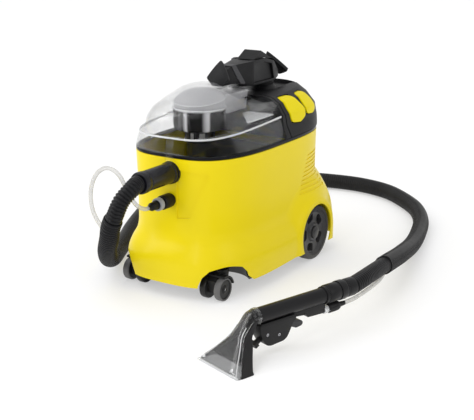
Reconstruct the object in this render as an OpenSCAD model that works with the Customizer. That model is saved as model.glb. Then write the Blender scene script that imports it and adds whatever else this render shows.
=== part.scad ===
// Spray-extraction carpet cleaner: clear-lidded tank machine on two wheels and two casters,
// with its suction and spray hoses and a hand nozzle lying on the floor.
// Millimetres. X across, -Y towards the hose end, +Z up, origin on the floor under the middle.

/* [Housing] */
// Half width of the housing at its rim
rim_hw = 131; // [122:1:140]
// Front of the housing at its rim, measured forwards of the origin
rim_front = 208; // [198:1:220]
// Rear of the housing at its rim, measured backwards of the origin
rim_rear = 236; // [226:1:246]
// Height of the housing rim above the floor
rim_z = 274; // [266:1:282]
// Height of the lower edge of the skirt
skirt_z = 28; // [25:1:32]
// How far the skirt stands out of the upper body
skirt_out = 17; // [15:0.5:19]
// Wall thickness of the housing
wall = 3; // [2.4:0.2:4]
// Squareness of the housing's plan, 2 is an ellipse
plan_n = 3.2; // [2.8:0.1:3.6]
// Height of the black band on the rim
band_h = 7; // [5:0.5:9]

/* [Top] */
// Height of the crease round the lid
crease_z = 322; // [316:1:328]
// Height of the top of the dome at its middle ring
dome_z = 399; // [394:1:402]
// Place of the joint between lid and control head, at the rim
split_y = 22; // [16:1:28]
// Lean of that joint, rearwards as it rises
split_lean = 14; // [8:1:18]
// Wall thickness of the clear lid
lid_wall = 3; // [2.4:0.2:3.6]
// Radius of the float chamber under the lid
chamber_r = 52; // [46:1:56]

/* [Rear wheels] */
// Radius of the rear wheels
wheel_r = 60; // [56:0.5:61]
// Width of the rear wheels
wheel_w = 26; // [20:1:28]
// Place of the rear axle behind the origin
axle_y = 124; // [118:1:130]
// Outer face of the rear wheels from the middle
wheel_face_x = 147; // [143:1:149]
// Radius of the rear axle
axle_r = 6; // [4:0.5:8]

/* [Casters] */
// Radius of the caster wheels
caster_r = 23; // [20:0.5:24]
// Width of each caster wheel
caster_wheel_w = 14; // [10:0.5:15]
// Caster swivel axis from the middle
caster_x = 94; // [90:1:98]
// Caster swivel axis in front of the origin
caster_y = 166; // [162:1:170]
// Distance from swivel axis to wheel axle
caster_trail = 18; // [14:0.5:20]
// Radius of the caster stem
stem_r = 5; // [4:0.5:6]

/* [Hand tool] */
// Radius of the tool's suction tube
tube_r = 14; // [12:0.5:15]
// Height of the tube's axis above the floor
tube_z = 73; // [72:1:76]
// Width of the nozzle mouth
mouth_w = 108; // [96:2:116]

/* [Hoses] */
// Outer diameter of the suction hose
hose_d = 32; // [28:1:34]
// Outer diameter of the sheathed bundle
bundle_d = 38; // [36:1:40]
// Outer diameter of the spray hose
spray_d = 8; // [7:0.5:9]
// Suction port from the middle
port_x = 8; // [0:1:40]
// Height of the suction port's axis
port_z = 246; // [230:1:256]

/* [Fits] */
// Radial clearance of running pins and shafts
run_fit = 0.06; // [0.03:0.01:0.1]
// Gap between pieces of different bodies
gap = 0.5; // [0.4:0.1:0.8]
// Gap between seated pieces of one body
seat = 0.2; // [0.1:0.05:0.3]

/* [Hidden] */

// Colours
yellow = "#f0e010";
black = "#26272a";
dark_grey = "#3c3d42";
mid_grey = "#8b8d90";
steel = "#b9bcc0";
clear = "#cfd6da";

// Points round each lofted section, and hull smoothness
ring_count = 48;
hull_fn = 32;
big = 600;

// ---- section and loft helpers ----
function signed_pow(v, p) = sign(v) * pow(abs(v), p);

// Rounded plan outline, from front y to rear y
function plan(hw, front, rear, n = plan_n, count = ring_count) =
    [for (i = [0:count - 1]) let (a = 360 * i / count)
        [hw * signed_pow(cos(a), 2 / n),
         (rear - front) / 2 + (rear + front) / 2 * signed_pow(sin(a), 2 / n)]];

function raise(outline, z, tilt = 0) = [for (p = outline) [p[0], p[1], z + tilt * p[1]]];

// Closed skin through a stack of rings that have equal counts
module loft(rings) {
    n = len(rings[0]);
    m = len(rings);
    polyhedron(
        points = [for (r = rings) each r],
        faces = concat(
            [[for (i = [0:n - 1]) i]],
            [for (k = [0:m - 2], i = [0:n - 1])
                let (j = (i + 1) % n)
                each [[k * n + i, (k + 1) * n + i, (k + 1) * n + j],
                      [k * n + i, (k + 1) * n + j, k * n + j]]],
            [[for (i = [0:n - 1]) (m - 1) * n + (n - 1 - i)]]));
}

// ---- housing form ----
// Height, and how far the wall stands out of the rim's plan
skirt_form = [
    [skirt_z, skirt_out - 1.5], [skirt_z + 24, skirt_out], [skirt_z + 48, skirt_out - 2],
    [skirt_z + 66, skirt_out - 8], [skirt_z + 80, 2.5], [skirt_z + 94, -0.5],
    [skirt_z + 112, -1.5], [200, -1.5], [rim_z, 0]];
front_share = 1.3;
rear_share = 0.4;

function body_plan(out, inset = 0) = plan(rim_hw + out - inset,
    rim_front + front_share * out - inset, rim_rear + rear_share * out - inset);
function body_rings(inset) = [for (s = skirt_form) raise(body_plan(s[1], inset), s[0])];
function body_cavity(inset) = concat(
    [raise(body_plan(skirt_form[0][1], inset), skirt_z - 5)], body_rings(inset),
    [raise(body_plan(0, inset), rim_z + 5)]);

// Keeps only the outer skin of what it is given, to a depth below the housing's face
module skin_cut(depth) {
    difference() {
        children();
        loft(body_cavity(depth));
    }
}

// A drum about the rear axle, from a profile of [radius, x]
module axle_drum(profile) {
    translate([0, axle_y, wheel_r]) rotate([0, 90, 0])
        rotate_extrude($fn = 96) polygon(profile);
}

fender_r = wheel_r + 15;
fender_x = rim_hw + 20;
arch_r = wheel_r + 3;
arch_x = wheel_face_x - wheel_w - 4;
module fender() {
    difference() {
        axle_drum([[0, arch_x], [fender_r + 37, arch_x], [fender_r + 37, rim_hw - 3],
            [fender_r + 26, rim_hw + 2], [fender_r + 14, rim_hw + 8],
            [fender_r + 5, rim_hw + 14], [fender_r + 1, fender_x - 3],
            [fender_r - 1, fender_x - 1], [fender_r - 4, fender_x], [0, fender_x]]);
        translate([-big / 2, -big / 2, skirt_z - big]) cube(big);
        translate([-big / 2, axle_y, wheel_r - 2 - big]) cube(big);
    }
}

// Space that a caster sweeps, with a domed roof
well_r = caster_trail + caster_r + 15;
well_top = 70;
module caster_space(grow = 0) {
    translate([caster_x, -caster_y, 0])
        rotate_extrude($fn = 72)
            polygon([[0, -1], [well_r + grow, -1], [well_r + grow, skirt_z + 4],
                [well_r - 4 + grow, skirt_z + 22], [well_r - 13 + grow, well_top - 7 + grow],
                [well_r - 28 + grow, well_top + grow], [0, well_top + grow]]);
}

module both_sides() {
    children();
    mirror([1, 0, 0]) children();
}

vent_count = 10;
vent_pitch = 8.4;
vent_h = 4;
vent_z = rim_z - 122;
module vents() {
    skin_cut(1.8)
        for (k = [0:vent_count - 1])
            translate([rim_hw - 50, 76 + 4.6 * k, vent_z + vent_pitch * k])
                cube([big, 110 - 4.6 * k, vent_h]);
}

spray_x = port_x - 2;
spray_z = port_z - 54;
cuff_r = 20;
socket_r = cuff_r + 2;
spray_hole_r = 12;
face_y = rim_front - 1;

// Shallow pressed field beside the two hose sockets
module front_field() {
    skin_cut(1.5)
        translate([0, -rim_front + 40, 0]) rotate([90, 0, 0])
            linear_extrude(big) polygon([[port_x + 14, port_z + 8], [port_x + 76, port_z],
                [port_x + 40, port_z - 86], [port_x + 12, port_z - 90]]);
}

module housing() {
    color(yellow)
    difference() {
        union() {
            loft(body_rings(0));
            both_sides() fender();
        }
        loft(body_cavity(wall));
        both_sides() {
            axle_drum([[0, arch_x - 40], [arch_r, arch_x - 40], [arch_r, fender_x + 9],
                [0, fender_x + 9]]);
            caster_space();
            // arch behind the caster, open to the side
            translate([caster_x, 0, 0]) rotate([90, 0, 90])
                linear_extrude(big) polygon([[-caster_y - 8, -1], [-caster_y - 8, 60],
                    [-caster_y + 6, 58], [-caster_y + 24, 50], [-caster_y + 38, 37],
                    [-caster_y + 50, skirt_z], [-caster_y + 54, -1]]);
            vents();
        }
        front_field();
        translate([port_x, -face_y + 40, port_z]) rotate([90, 0, 0])
            cylinder(r = socket_r + seat, h = 90, $fn = 64);
        translate([spray_x, -face_y + 40, spray_z]) rotate([90, 0, 0])
            cylinder(r = spray_hole_r + seat, h = 90, $fn = 48);
    }
}

// ---- rim band, base and inner frame ----
band_in = wall + 4;
module rim_band() {
    color(black)
    difference() {
        loft([raise(body_plan(0, 1.2), rim_z + seat), raise(body_plan(0, 0), rim_z + 2),
              raise(body_plan(0, 0.6), rim_z + band_h - 1.5),
              raise(body_plan(0, 2), rim_z + band_h)]);
        loft([raise(body_plan(0, band_in), rim_z - 1),
              raise(body_plan(0, band_in), rim_z + band_h + 1)]);
    }
}

plate_z = skirt_z + 2;
plate_t = 4;
liner_t = 3;
liner_in_x = arch_x - 2;
boss_r = axle_r + 7;
module base_plate() {
    color(black)
    difference() {
        union() {
            translate([0, 0, plate_z])
                linear_extrude(plate_t) polygon(body_plan(skirt_out - 1, wall + 1));
            both_sides() {
                intersection() {
                    caster_space(liner_t);
                    translate([0, 0, plate_z])
                        linear_extrude(big) polygon(body_plan(skirt_out - 6, wall + 6));
                }
                translate([caster_x, -caster_y, well_top])
                    cylinder(r = stem_r + 6, h = 30, $fn = 48);
                // wheel arch liner
                intersection() {
                    axle_drum([[0, liner_in_x - liner_t], [arch_r + liner_t, liner_in_x - liner_t],
                        [arch_r + liner_t, rim_hw - 6], [0, rim_hw - 6]]);
                    translate([0, 0, plate_z])
                        linear_extrude(big) polygon(body_plan(-1.5, wall + seat));
                }
                // axle boss
                translate([liner_in_x - liner_t - 24, axle_y, wheel_r]) rotate([0, 90, 0])
                    cylinder(r = boss_r, h = 26, $fn = 48);
                translate([liner_in_x - liner_t - 16, axle_y - 5, plate_z + 1])
                    cube([14, 10, wheel_r - plate_z - 8]);
            }
        }
        both_sides() {
            caster_space();
            translate([caster_x, -caster_y, well_top - 2])
                cylinder(r = stem_r + run_fit, h = 30, $fn = 48);
            intersection() {
                axle_drum([[0, liner_in_x], [arch_r, liner_in_x], [arch_r, fender_x],
                    [0, fender_x]]);
                translate([-big / 2, -big / 2, -big / 2]) cube(big);
            }
            translate([0, axle_y, wheel_r]) rotate([0, 90, 0])
                cylinder(r = axle_r + run_fit, h = big, $fn = 64);
            // skirt edge beside the wheel
            translate([liner_in_x, axle_y - arch_r, -1]) cube([big, 2 * arch_r, wheel_r]);
        }
    }
}

// Shelf that carries tank, motor and pump, on columns from the base plate
shelf_z = 102;
shelf_t = 4;
bulkhead_y = split_y + 8;
column_at = [[-60, -100], [60, -100], [-88, 40], [88, 40], [0, 205]];
module chassis() {
    color(dark_grey)
    difference() {
        union() {
            translate([0, 0, shelf_z])
                linear_extrude(shelf_t) polygon(body_plan(-4, wall + 3));
            for (p = column_at)
                translate([p[0], p[1], plate_z + plate_t + seat])
                    cylinder(r = 9, h = shelf_z - plate_z - plate_t + 1, $fn = 48);
            intersection() {
                translate([-big / 2, bulkhead_y, shelf_z])
                    cube([big, 3, rim_z - 8 - shelf_z]);
                translate([0, 0, shelf_z])
                    linear_extrude(big) polygon(body_plan(-4, wall + 3));
            }
        }
        both_sides()
            axle_drum([[0, 70], [arch_r + liner_t + 3, 70], [arch_r + liner_t + 3, big / 2],
                [0, big / 2]]);
        translate([0, motor_y, shelf_z - 1]) cylinder(r = 38, h = 20, $fn = 64);
    }
}

// ---- tank ----
tank_in = wall + 6;
tank_floor_z = shelf_z + shelf_t + gap;
tank_wall = 2.5;
tank_rear = split_y - 2;
module tank() {
    color(clear)
    difference() {
        union() {
            loft([raise(body_plan(0, tank_in + 8), tank_floor_z),
                  raise(body_plan(0, tank_in + 4), tank_floor_z + 5),
                  raise(body_plan(0, tank_in), rim_z - 4)]);
            translate([0, 0, rim_z - 4 - tank_wall])
                linear_extrude(tank_wall + 4 + band_h - 1) polygon(body_plan(0, tank_in));
        }
        translate([-big / 2, tank_rear, 0]) cube(big);
        difference() {
            loft([raise(body_plan(0, tank_in + 8 + tank_wall), tank_floor_z + tank_wall),
                  raise(body_plan(0, tank_in + 4 + tank_wall), tank_floor_z + tank_wall + 4),
                  raise(body_plan(0, tank_in + tank_wall), rim_z + band_h + 1)]);
            translate([-big / 2, tank_rear - tank_wall, 0]) cube(big);
        }
        // inlet behind the suction socket
        translate([port_x, -face_y + 40, port_z]) rotate([90, 0, 0])
            cylinder(r = cuff_r - 4, h = 60, $fn = 64);
    }
}

divider_x = -34;
module tank_divider() {
    color(clear)
    intersection() {
        translate([divider_x, -big / 2, tank_floor_z + tank_wall + seat])
            cube([2.5, big / 2 + tank_rear - tank_wall - seat, rim_z - 30 - tank_floor_z]);
        linear_extrude(big) polygon(body_plan(0, tank_in + 8 + tank_wall + seat));
    }
}

// ---- lid and control head form ----
// Ring height at the middle, half width, front, rear, rise towards the rear, squareness
lid_z = rim_z + band_h + gap;
lid_form = [
    [lid_z, rim_hw - 1, rim_front - 1, rim_rear - 1, 0, 3.3],
    [crease_z - 20, rim_hw - 12, rim_front - 1, rim_rear - 4, 0.02, 3.6],
    [crease_z, rim_hw - 22, rim_front - 2, rim_rear - 8, 0.05, 3.6],
    [crease_z + 3, rim_hw - 28, rim_front - 5, rim_rear - 12, 0.05, 3.6],
    [crease_z + 25, rim_hw - 37, rim_front - 6, rim_rear - 18, 0.02, 3.4],
    [crease_z + 34, rim_hw - 50, rim_front - 11, 50, 0, 3.1],
    [crease_z + 41, rim_hw - 59, rim_front - 17, 10, 0, 2.9],
    [crease_z + 52, rim_hw - 67, rim_front - 25, -22, 0, 2.8],
    [dome_z - 14, rim_hw - 80, rim_front - 38, -38, 0, 2.6],
    [dome_z - 4, rim_hw - 96, rim_front - 55, -54, 0, 2.4],
    [dome_z, rim_hw - 114, rim_front - 76, -70, 0, 2.2]];
head_form = [
    [lid_z, rim_hw - 1, rim_front - 1, rim_rear - 1, 0, 3.4],
    [crease_z - 18, rim_hw - 13, rim_front, rim_rear - 1, 0, 4.3],
    [crease_z + 2, rim_hw - 18, rim_front, rim_rear - 4, 0.01, 4.4],
    [crease_z + 23, rim_hw - 35, rim_front, rim_rear - 11, 0.02, 4],
    [crease_z + 32, rim_hw - 54, rim_front, rim_rear - 17, 0.04, 3.6],
    [crease_z + 35, rim_hw - 74, rim_front, rim_rear - 23, 0.045, 3.4]];
function form_rings(form, inset) = [for (k = [0:len(form) - 1]) let (f = form[k])
    raise(plan(f[1] - inset, f[2] - inset, f[3] - inset, f[5]),
        f[0] - inset * k / len(form), f[4])];
function form_cavity(form, inset) = let (f = form[0])
    concat([raise(plan(f[1] - inset, f[2] - inset, f[3] - inset, f[5]), rim_z + band_h - 2)],
        form_rings(form, inset));

// Everything in front of the slanted joint, moved back by a distance
module before_split(back = 0) {
    translate([-big / 2, split_y + back, rim_z]) rotate([-split_lean, 0, 0])
        translate([0, -big, -big / 2]) cube(big);
}

// Recess in the head under the handle bracket
recess_hw = 44;
recess_z = 352;

// Air duct from the float chamber back to the control head
duct_hw = 30;
duct_top = recess_z + 21;
module duct(inset) {
    translate([-duct_hw + inset, 0, 0]) rotate([90, 0, 90])
        linear_extrude(2 * (duct_hw - inset)) polygon([[-70, recess_z - 20], [-70, duct_top + 8 - inset],
            [-30, duct_top + 2 - inset], [60, duct_top - inset], [60, recess_z - 20]]);
}

module lid() {
    color(clear)
    difference() {
        intersection() {
            union() {
                loft(form_rings(lid_form, 0));
                duct(0);
            }
            before_split(-gap);
        }
        intersection() {
            union() {
                loft(form_cavity(lid_form, lid_wall));
                duct(lid_wall);
            }
            before_split(-gap - lid_wall);
        }
        // slot for the bracket's tongue
        translate([-tongue_hw - seat, split_y, recess_z + gap + 1 - seat])
            cube([2 * (tongue_hw + seat), 40, tongue_t + 2 * seat]);
    }
}

chamber_y = 97;
chamber_bottom = 311;
module float_chamber() {
    color(clear)
    intersection() {
        translate([0, -chamber_y, 0]) rotate_extrude($fn = 96)
            polygon([[cage_r + seat, chamber_bottom], [chamber_r - 6, chamber_bottom],
                [chamber_r, chamber_bottom + 8], [chamber_r, dome_z],
                [chamber_r - 3, dome_z], [chamber_r - 3, chamber_bottom + 10],
                [chamber_r - 8, chamber_bottom + 3], [cage_r + seat, chamber_bottom + 3]]);
        loft(form_cavity(lid_form, lid_wall + seat));
    }
}

cage_r = 30;
float_r = 18;
cage_bottom = 286;
cage_wall = 3;
float_h = 24;
float_travel = 28;
cage_room = float_h + float_travel + 2 * gap;
module float_cage() {
    color(black)
    translate([0, -chamber_y, 0]) {
        difference() {
            translate([0, 0, cage_bottom])
                cylinder(r = cage_r, h = cage_room + 2 * cage_wall, $fn = 64);
            translate([0, 0, cage_bottom + cage_wall])
                cylinder(r = cage_r - cage_wall, h = cage_room, $fn = 64);
            translate([0, 0, cage_bottom + cage_room])
                cylinder(r = float_r - 4, h = 20, $fn = 64);
            for (a = [0:45:315]) rotate([0, 0, a])
                translate([cage_r - 6, -6, cage_bottom + 8]) cube([12, 12, 12]);
        }
    }
}

module float() {
    color("white")
    translate([0, -chamber_y, cage_bottom + cage_wall + gap])
        difference() {
            cylinder(r = float_r, h = float_h, $fn = 64);
            translate([0, 0, -1]) cylinder(r = float_r - 3, h = float_h - 4, $fn = 64);
        }
}

// Spring clip that holds the lid's front over the rim
clip_hw = 8;
module lid_catches() {
    color(clear)
    translate([port_x - clip_hw, 0, 0]) rotate([90, 0, 90]) linear_extrude(2 * clip_hw)
        polygon([[-rim_front + 1 - seat, crease_z - 24], [-rim_front + 1 - seat, crease_z - 10],
            [-rim_front - 2, crease_z - 10], [-rim_front - 5, crease_z - 16],
            [-rim_front - 5, rim_z - 4], [-rim_front - 3, rim_z - 5.5],
            [-rim_front - 2, rim_z - 4], [-rim_front - 2.5, crease_z - 24]]);
}

// ---- control head and its two pedal switches ----
// Outline of each pedal from the side, and the length of its pin
pedal_outline = [
    [[66, 354], [108, 354], [126, 330], [124, 312], [98, 303], [64, 307], [62, 330]],
    [[131, 353], [164, 355], [180, 338], [180, 318], [162, 311], [133, 313], [131, 330]]];
pedal_y = [65, 133];
pedal_len = [56, 44];
pedal_proud = 2;
pedal_t = 5;
pedal_room = 7;
// How far the inner edge of a pressed pedal swings inwards
pedal_swing = 3;
pin_r = 2.5;
pin_x = [rim_hw - 32, rim_hw - 38];
pin_z = crease_z + 1;
lug_r = 6;

module pedal_band(k, grow, swing = 0) {
    translate([rim_hw - 50 - grow - swing, 0, 0]) rotate([90, 0, 90]) linear_extrude(big)
        offset(delta = grow) polygon(pedal_outline[k]);
}
module pedal_axle(k, r, extra) {
    translate([pin_x[k], pedal_y[k] - extra / 2, pin_z]) rotate([-90, 0, 0])
        cylinder(r = r, h = pedal_len[k] + extra, $fn = 48);
}

module control_head() {
    color(black)
    difference() {
        loft(form_rings(head_form, 0));
        before_split();
        // hollow between the switch boxes
        intersection() {
            loft(form_cavity(head_form, 6));
            translate([-60, split_y + 30, rim_z])
                cube([120, rim_rear - split_y - 46, recess_z - 6 - rim_z]);
        }
        // recess for the handle bracket
        translate([-recess_hw - gap, 0, recess_z])
            cube([2 * recess_hw + 2 * gap, bracket_rear + gap, 90]);
        for (k = [0, 1]) {
            difference() {
                pedal_band(k, gap, pedal_swing);
                loft(form_rings(head_form, pedal_t + pedal_room));
            }
            pedal_axle(k, lug_r + gap + 0.5, 2 * gap);
            pedal_axle(k, pin_r + run_fit, 8.4);
        }
        translate([0, rim_rear - 40, gland_z]) rotate([-90, 0, 0])
            cylinder(r = gland_r + seat, h = 60, $fn = 48);
    }
}

module pedal(k) {
    color(yellow)
    difference() {
        union() {
            intersection() {
                difference() {
                    loft(form_rings(head_form, -pedal_proud));
                    loft(form_rings(head_form, pedal_t - pedal_proud));
                }
                pedal_band(k, 0);
            }
            pedal_axle(k, lug_r, 0);
            translate([pin_x[k], pedal_y[k], pin_z - 3]) cube([10, pedal_len[k], 6]);
        }
        pedal_axle(k, pin_r + run_fit, 2);
    }
}
module switch_suction() pedal(0);
module switch_spray() pedal(1);
module switch_pins() {
    color(steel)
    for (k = [0, 1]) pedal_axle(k, pin_r, 8);
}

gland_z = 310;
gland_r = 9;
cable_r = 4.2;
module cable_gland() {
    color(black)
    translate([0, 0, gland_z]) rotate([-90, 0, 0])
        difference() {
            union() {
                translate([0, 0, rim_rear - 38]) cylinder(r = gland_r, h = 42, $fn = 48);
                translate([0, 0, rim_rear - 0.6]) cylinder(r = gland_r + 3, h = 3, $fn = 48);
            }
            translate([0, 0, rim_rear - 60]) cylinder(r = cable_r, h = 90, $fn = 48);
        }
}

// ---- handle and its cable hooks ----
bracket_t = 5;
bracket_rear = rim_rear - 22;
tongue_hw = 30;
tongue_t = 3;
neck_y = 142;
neck_r = 23;
handle_hw = 26;
handle_low = 374;
handle_top = 424;
module handle_bracket() {
    color(black)
    union() {
        translate([-recess_hw, split_y + 26, recess_z + gap])
            cube([2 * recess_hw, bracket_rear - split_y - 26, bracket_t]);
        translate([-tongue_hw, split_y + 6, recess_z + gap + 1])
            cube([2 * tongue_hw, 24, tongue_t]);
        translate([0, neck_y, recess_z + gap]) {
            cylinder(r1 = neck_r + 12, r2 = neck_r, h = 13, $fn = 72);
            cylinder(r = neck_r, h = handle_low - seat - recess_z - gap, $fn = 72);
        }
    }
}

module handle_slice(hw) {
    rotate([90, 0, 90]) linear_extrude(2 * hw, center = true) children();
}
// Blade outline that is widest at its root line and pointed above and below
function kite(w, up, down, p) = [for (i = [0:ring_count - 1]) let (a = 360 * i / ring_count)
    [w * signed_pow(cos(a), 2 / p), (sin(a) > 0 ? up : down) * signed_pow(sin(a), 2 / p)]];
horn_t = 5;
horn_y = -28;
horn_z = handle_low + 24;
horn_lean = 19;
horn_foot = dome_z - 13.8;
pocket = 6;
module handle() {
    color(black)
    difference() {
        union() {
            intersection() {
                handle_slice(handle_hw) polygon([[horn_y - 4, horn_z], [-14, handle_top - 8],
                    [6, handle_top - 2], [60, handle_top + 1], [110, handle_top + 2],
                    [146, handle_top - 8], [162, handle_top - 22], [172, handle_top - 31],
                    [172, handle_low + 6], [150, handle_low], [58, handle_low],
                    [20, handle_low + 12], [horn_y, handle_low + 10]]);
                // waist behind the front horn
                translate([0, 0, handle_low - 1]) linear_extrude(handle_top - handle_low + 10)
                    polygon([[-9, horn_y - 4], [-13, 10], [-handle_hw + 2, 54],
                        [-handle_hw, 64], [-handle_hw, 140], [-19, 180], [19, 180],
                        [handle_hw, 140], [handle_hw, 64], [handle_hw - 2, 54], [13, 10],
                        [9, horn_y - 4]]);
            }
            translate([0, horn_y, horn_z]) rotate([90 - horn_lean, 0, 0])
                linear_extrude(horn_t) polygon(kite(handle_hw, 37, 21, 1.15));
        }
        // the horn's tip ends on the dome
        translate([-big / 2, horn_y - 60, horn_foot - big]) cube([big, 60, big]);
        // finger pockets in both flanks
        both_sides() translate([handle_hw - pocket, 0, 0]) rotate([90, 0, 90])
            linear_extrude(30) polygon([[66, handle_top - 9], [105, handle_top - 5],
                [136, handle_top - 12], [148, handle_low + 5], [66, handle_low + 5]]);
    }
}

module nozzle_cradle() {
    color(black)
    union() {
        handle_slice(20) polygon([[72, handle_top + 2 + seat], [101, handle_top + 18],
            [146, handle_top - 3], [110, handle_top + 2 + seat]]);
        translate([-handle_hw - 3 - seat, 0, 0]) handle_slice(3) polygon([[66, handle_top - 7],
            [68, handle_top + 1], [78, handle_top + 3], [109, handle_top],
            [109, handle_top - 7]]);
    }
}

// Swivelling cable hook on a post square to the handle's slanted rear
post_lean = 48.3;
post_r = 8;
spigot_r = 4;
post_len = 14;
module on_post() {
    translate([0, 167, handle_top - 26.5]) rotate([post_lean - 90, 0, 0]) children();
}
module hook_post() {
    color(black)
    on_post() {
        translate([0, 0, seat]) cylinder(r = post_r, h = post_len - seat, $fn = 48);
        cylinder(r = spigot_r, h = post_len + 5, $fn = 48);
    }
}
hook_t = 7;
module cable_hook() {
    color(black)
    on_post() difference() {
        translate([0, 33, post_len + gap]) rotate([0, 0, 180])
            linear_extrude(hook_t) polygon(kite(handle_hw, 62, 15, 1.15));
        translate([0, 0, post_len]) cylinder(r = spigot_r + run_fit, h = 5.5, $fn = 48);
    }
}

// ---- motor and pump ----
motor_y = 128;
motor_r = 60;
module vacuum_motor() {
    color(mid_grey)
    translate([0, motor_y, 0]) {
        translate([0, 0, shelf_z + shelf_t + seat]) cylinder(r = motor_r, h = 46, $fn = 72);
        translate([0, 0, shelf_z + shelf_t + 46]) cylinder(r1 = motor_r, r2 = 44, h = 12,
            $fn = 72);
        translate([0, 0, shelf_z + shelf_t + 50]) cylinder(r = 42, h = 70, $fn = 72);
        translate([0, 0, shelf_z - 20]) cylinder(r = 37, h = 40, $fn = 64);
    }
}
pump_x = -52;
pump_y = -60;
module spray_pump() {
    color(dark_grey)
    translate([pump_x, pump_y, plate_z + plate_t + seat]) {
        translate([-22, -18, 0]) cube([44, 36, 4]);
        translate([0, 0, 4]) cylinder(r = 18, h = 30, $fn = 64);
        translate([0, 0, 34]) cylinder(r = 14, h = 22, $fn = 64);
        translate([0, 0, 20]) rotate([0, 90, 0]) cylinder(r = 5, h = 30, $fn = 32);
    }
}

// ---- hose sockets on the front ----
module suction_port() {
    color(black)
    translate([port_x, 0, port_z]) rotate([90, 0, 0])
        difference() {
            union() {
                translate([0, 0, face_y - 7]) cylinder(r = socket_r, h = 10, $fn = 64);
                translate([0, 0, face_y - 7]) cylinder(r = socket_r + 3, h = 3, $fn = 64);
            }
            translate([0, 0, face_y - 5]) cylinder(r = cuff_r + seat / 2, h = 60, $fn = 64);
            translate([0, 0, 0]) cylinder(r = cuff_r - 4, h = big, $fn = 64);
        }
}
barrel_r = 14;
nipple_r = 5;
module spray_socket() {
    color(black)
    translate([spray_x, 0, spray_z]) rotate([90, 0, 0])
        difference() {
            union() {
                translate([0, 0, face_y - 6.5]) cylinder(r = spray_hole_r, h = 10.5, $fn = 48);
                translate([0, 0, face_y + 2.5]) cylinder(r = barrel_r, h = 26, $fn = 64);
                translate([0, 0, face_y + 28]) cylinder(r = 9, h = 18, $fn = 64);
            }
            translate([0, 0, face_y + 12]) cylinder(r = nipple_r + seat / 2, h = 60, $fn = 48);
            cylinder(r = 3, h = big, $fn = 48);
        }
}
sleeve_travel = 4;
module coupling_sleeve() {
    color(mid_grey)
    translate([spray_x, 0, spray_z]) rotate([90, 0, 0])
        difference() {
            translate([0, 0, face_y + 28.5 + sleeve_travel + gap])
                cylinder(r = 12.5, h = 10, $fn = 64);
            translate([0, 0, face_y + 20]) cylinder(r = 9 + run_fit, h = 60, $fn = 64);
        }
}

// ---- rear wheels ----
module rear_wheel() {
    color(dark_grey)
    difference() {
        axle_drum([[axle_r + run_fit, wheel_face_x - wheel_w],
            [wheel_r - 12, wheel_face_x - wheel_w], [wheel_r - 4, wheel_face_x - wheel_w + 1],
            [wheel_r, wheel_face_x - wheel_w + 5], [wheel_r, wheel_face_x - 5],
            [wheel_r - 4, wheel_face_x], [wheel_r - 11, wheel_face_x],
            [wheel_r - 14, wheel_face_x - 4], [wheel_r - 22, wheel_face_x - 9],
            [22, wheel_face_x - 9], [18, wheel_face_x - 4], [axle_r + run_fit, wheel_face_x - 4]]);
        for (a = [0:72:288])
            translate([0, axle_y, wheel_r]) rotate([a, 0, 0])
                translate([wheel_face_x - 17, 0, 0]) rotate([90, 0, 90])
                    linear_extrude(20) polygon([[6, 22], [14, 20], [18, 34], [6, 38]]);
    }
}
module rear_wheel_right() rear_wheel();
module rear_wheel_left() mirror([1, 0, 0]) rear_wheel();
module rear_axle() {
    color(steel)
    translate([0, axle_y, wheel_r]) rotate([0, 90, 0])
        cylinder(r = axle_r, h = 2 * wheel_face_x - 1, center = true, $fn = 64);
}
module hub_caps() {
    color(black)
    both_sides()
        axle_drum([[0, wheel_face_x - 0.3], [axle_r + seat / 2, wheel_face_x - 0.3],
            [axle_r + seat / 2, wheel_face_x - 4 + gap], [13, wheel_face_x - 4 + gap],
            [14, wheel_face_x - 1], [10, wheel_face_x + 1], [0, wheel_face_x + 1.6]]);
}

// ---- casters ----
caster_axle_y = caster_y + caster_trail;
hood_hw = 9;
wheel_gap_x = hood_hw + gap;
caster_axle_r = 3;
hood_top = well_top - 12;
module caster_hood() {
    color(black)
    difference() {
        union() {
            translate([caster_x, -caster_y, hood_top - 8]) cylinder(r = 16, h = 8, $fn = 64);
            translate([caster_x, -caster_y, hood_top - 1])
                cylinder(r = stem_r, h = 38, $fn = 48);
            translate([caster_x, -caster_y, hood_top - 1])
                cylinder(r = stem_r + 4, h = well_top - hood_top + 1 - gap, $fn = 48);
            // central web and curved hood over both wheels
            translate([caster_x - hood_hw, 0, 0]) rotate([90, 0, 90])
                linear_extrude(2 * hood_hw) polygon([[-caster_axle_y - 9, 14],
                    [-caster_axle_y + 9, 12], [-caster_y + 14, 40],
                    [-caster_y + 16, hood_top - 4], [-caster_y - 16, hood_top - 4],
                    [-caster_axle_y - 14, 40]]);
            intersection() {
                translate([caster_x, -caster_axle_y, caster_r]) rotate([0, 90, 0])
                    difference() {
                        cylinder(r = caster_r + 5, h = 50, center = true, $fn = 72);
                        cylinder(r = caster_r + 1.5, h = 60, center = true, $fn = 72);
                    }
                translate([caster_x - 40, -caster_axle_y - 6, caster_r + 6]) cube([80, 60, 60]);
            }
        }
        translate([caster_x, -caster_axle_y, caster_r]) rotate([0, 90, 0])
            cylinder(r = caster_axle_r + run_fit, h = 80, center = true, $fn = 48);
    }
}
module caster_axle() {
    color(steel)
    translate([caster_x, -caster_axle_y, caster_r]) rotate([0, 90, 0])
        cylinder(r = caster_axle_r, h = 2 * (wheel_gap_x + caster_wheel_w) - 2, center = true,
            $fn = 48);
}
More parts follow.
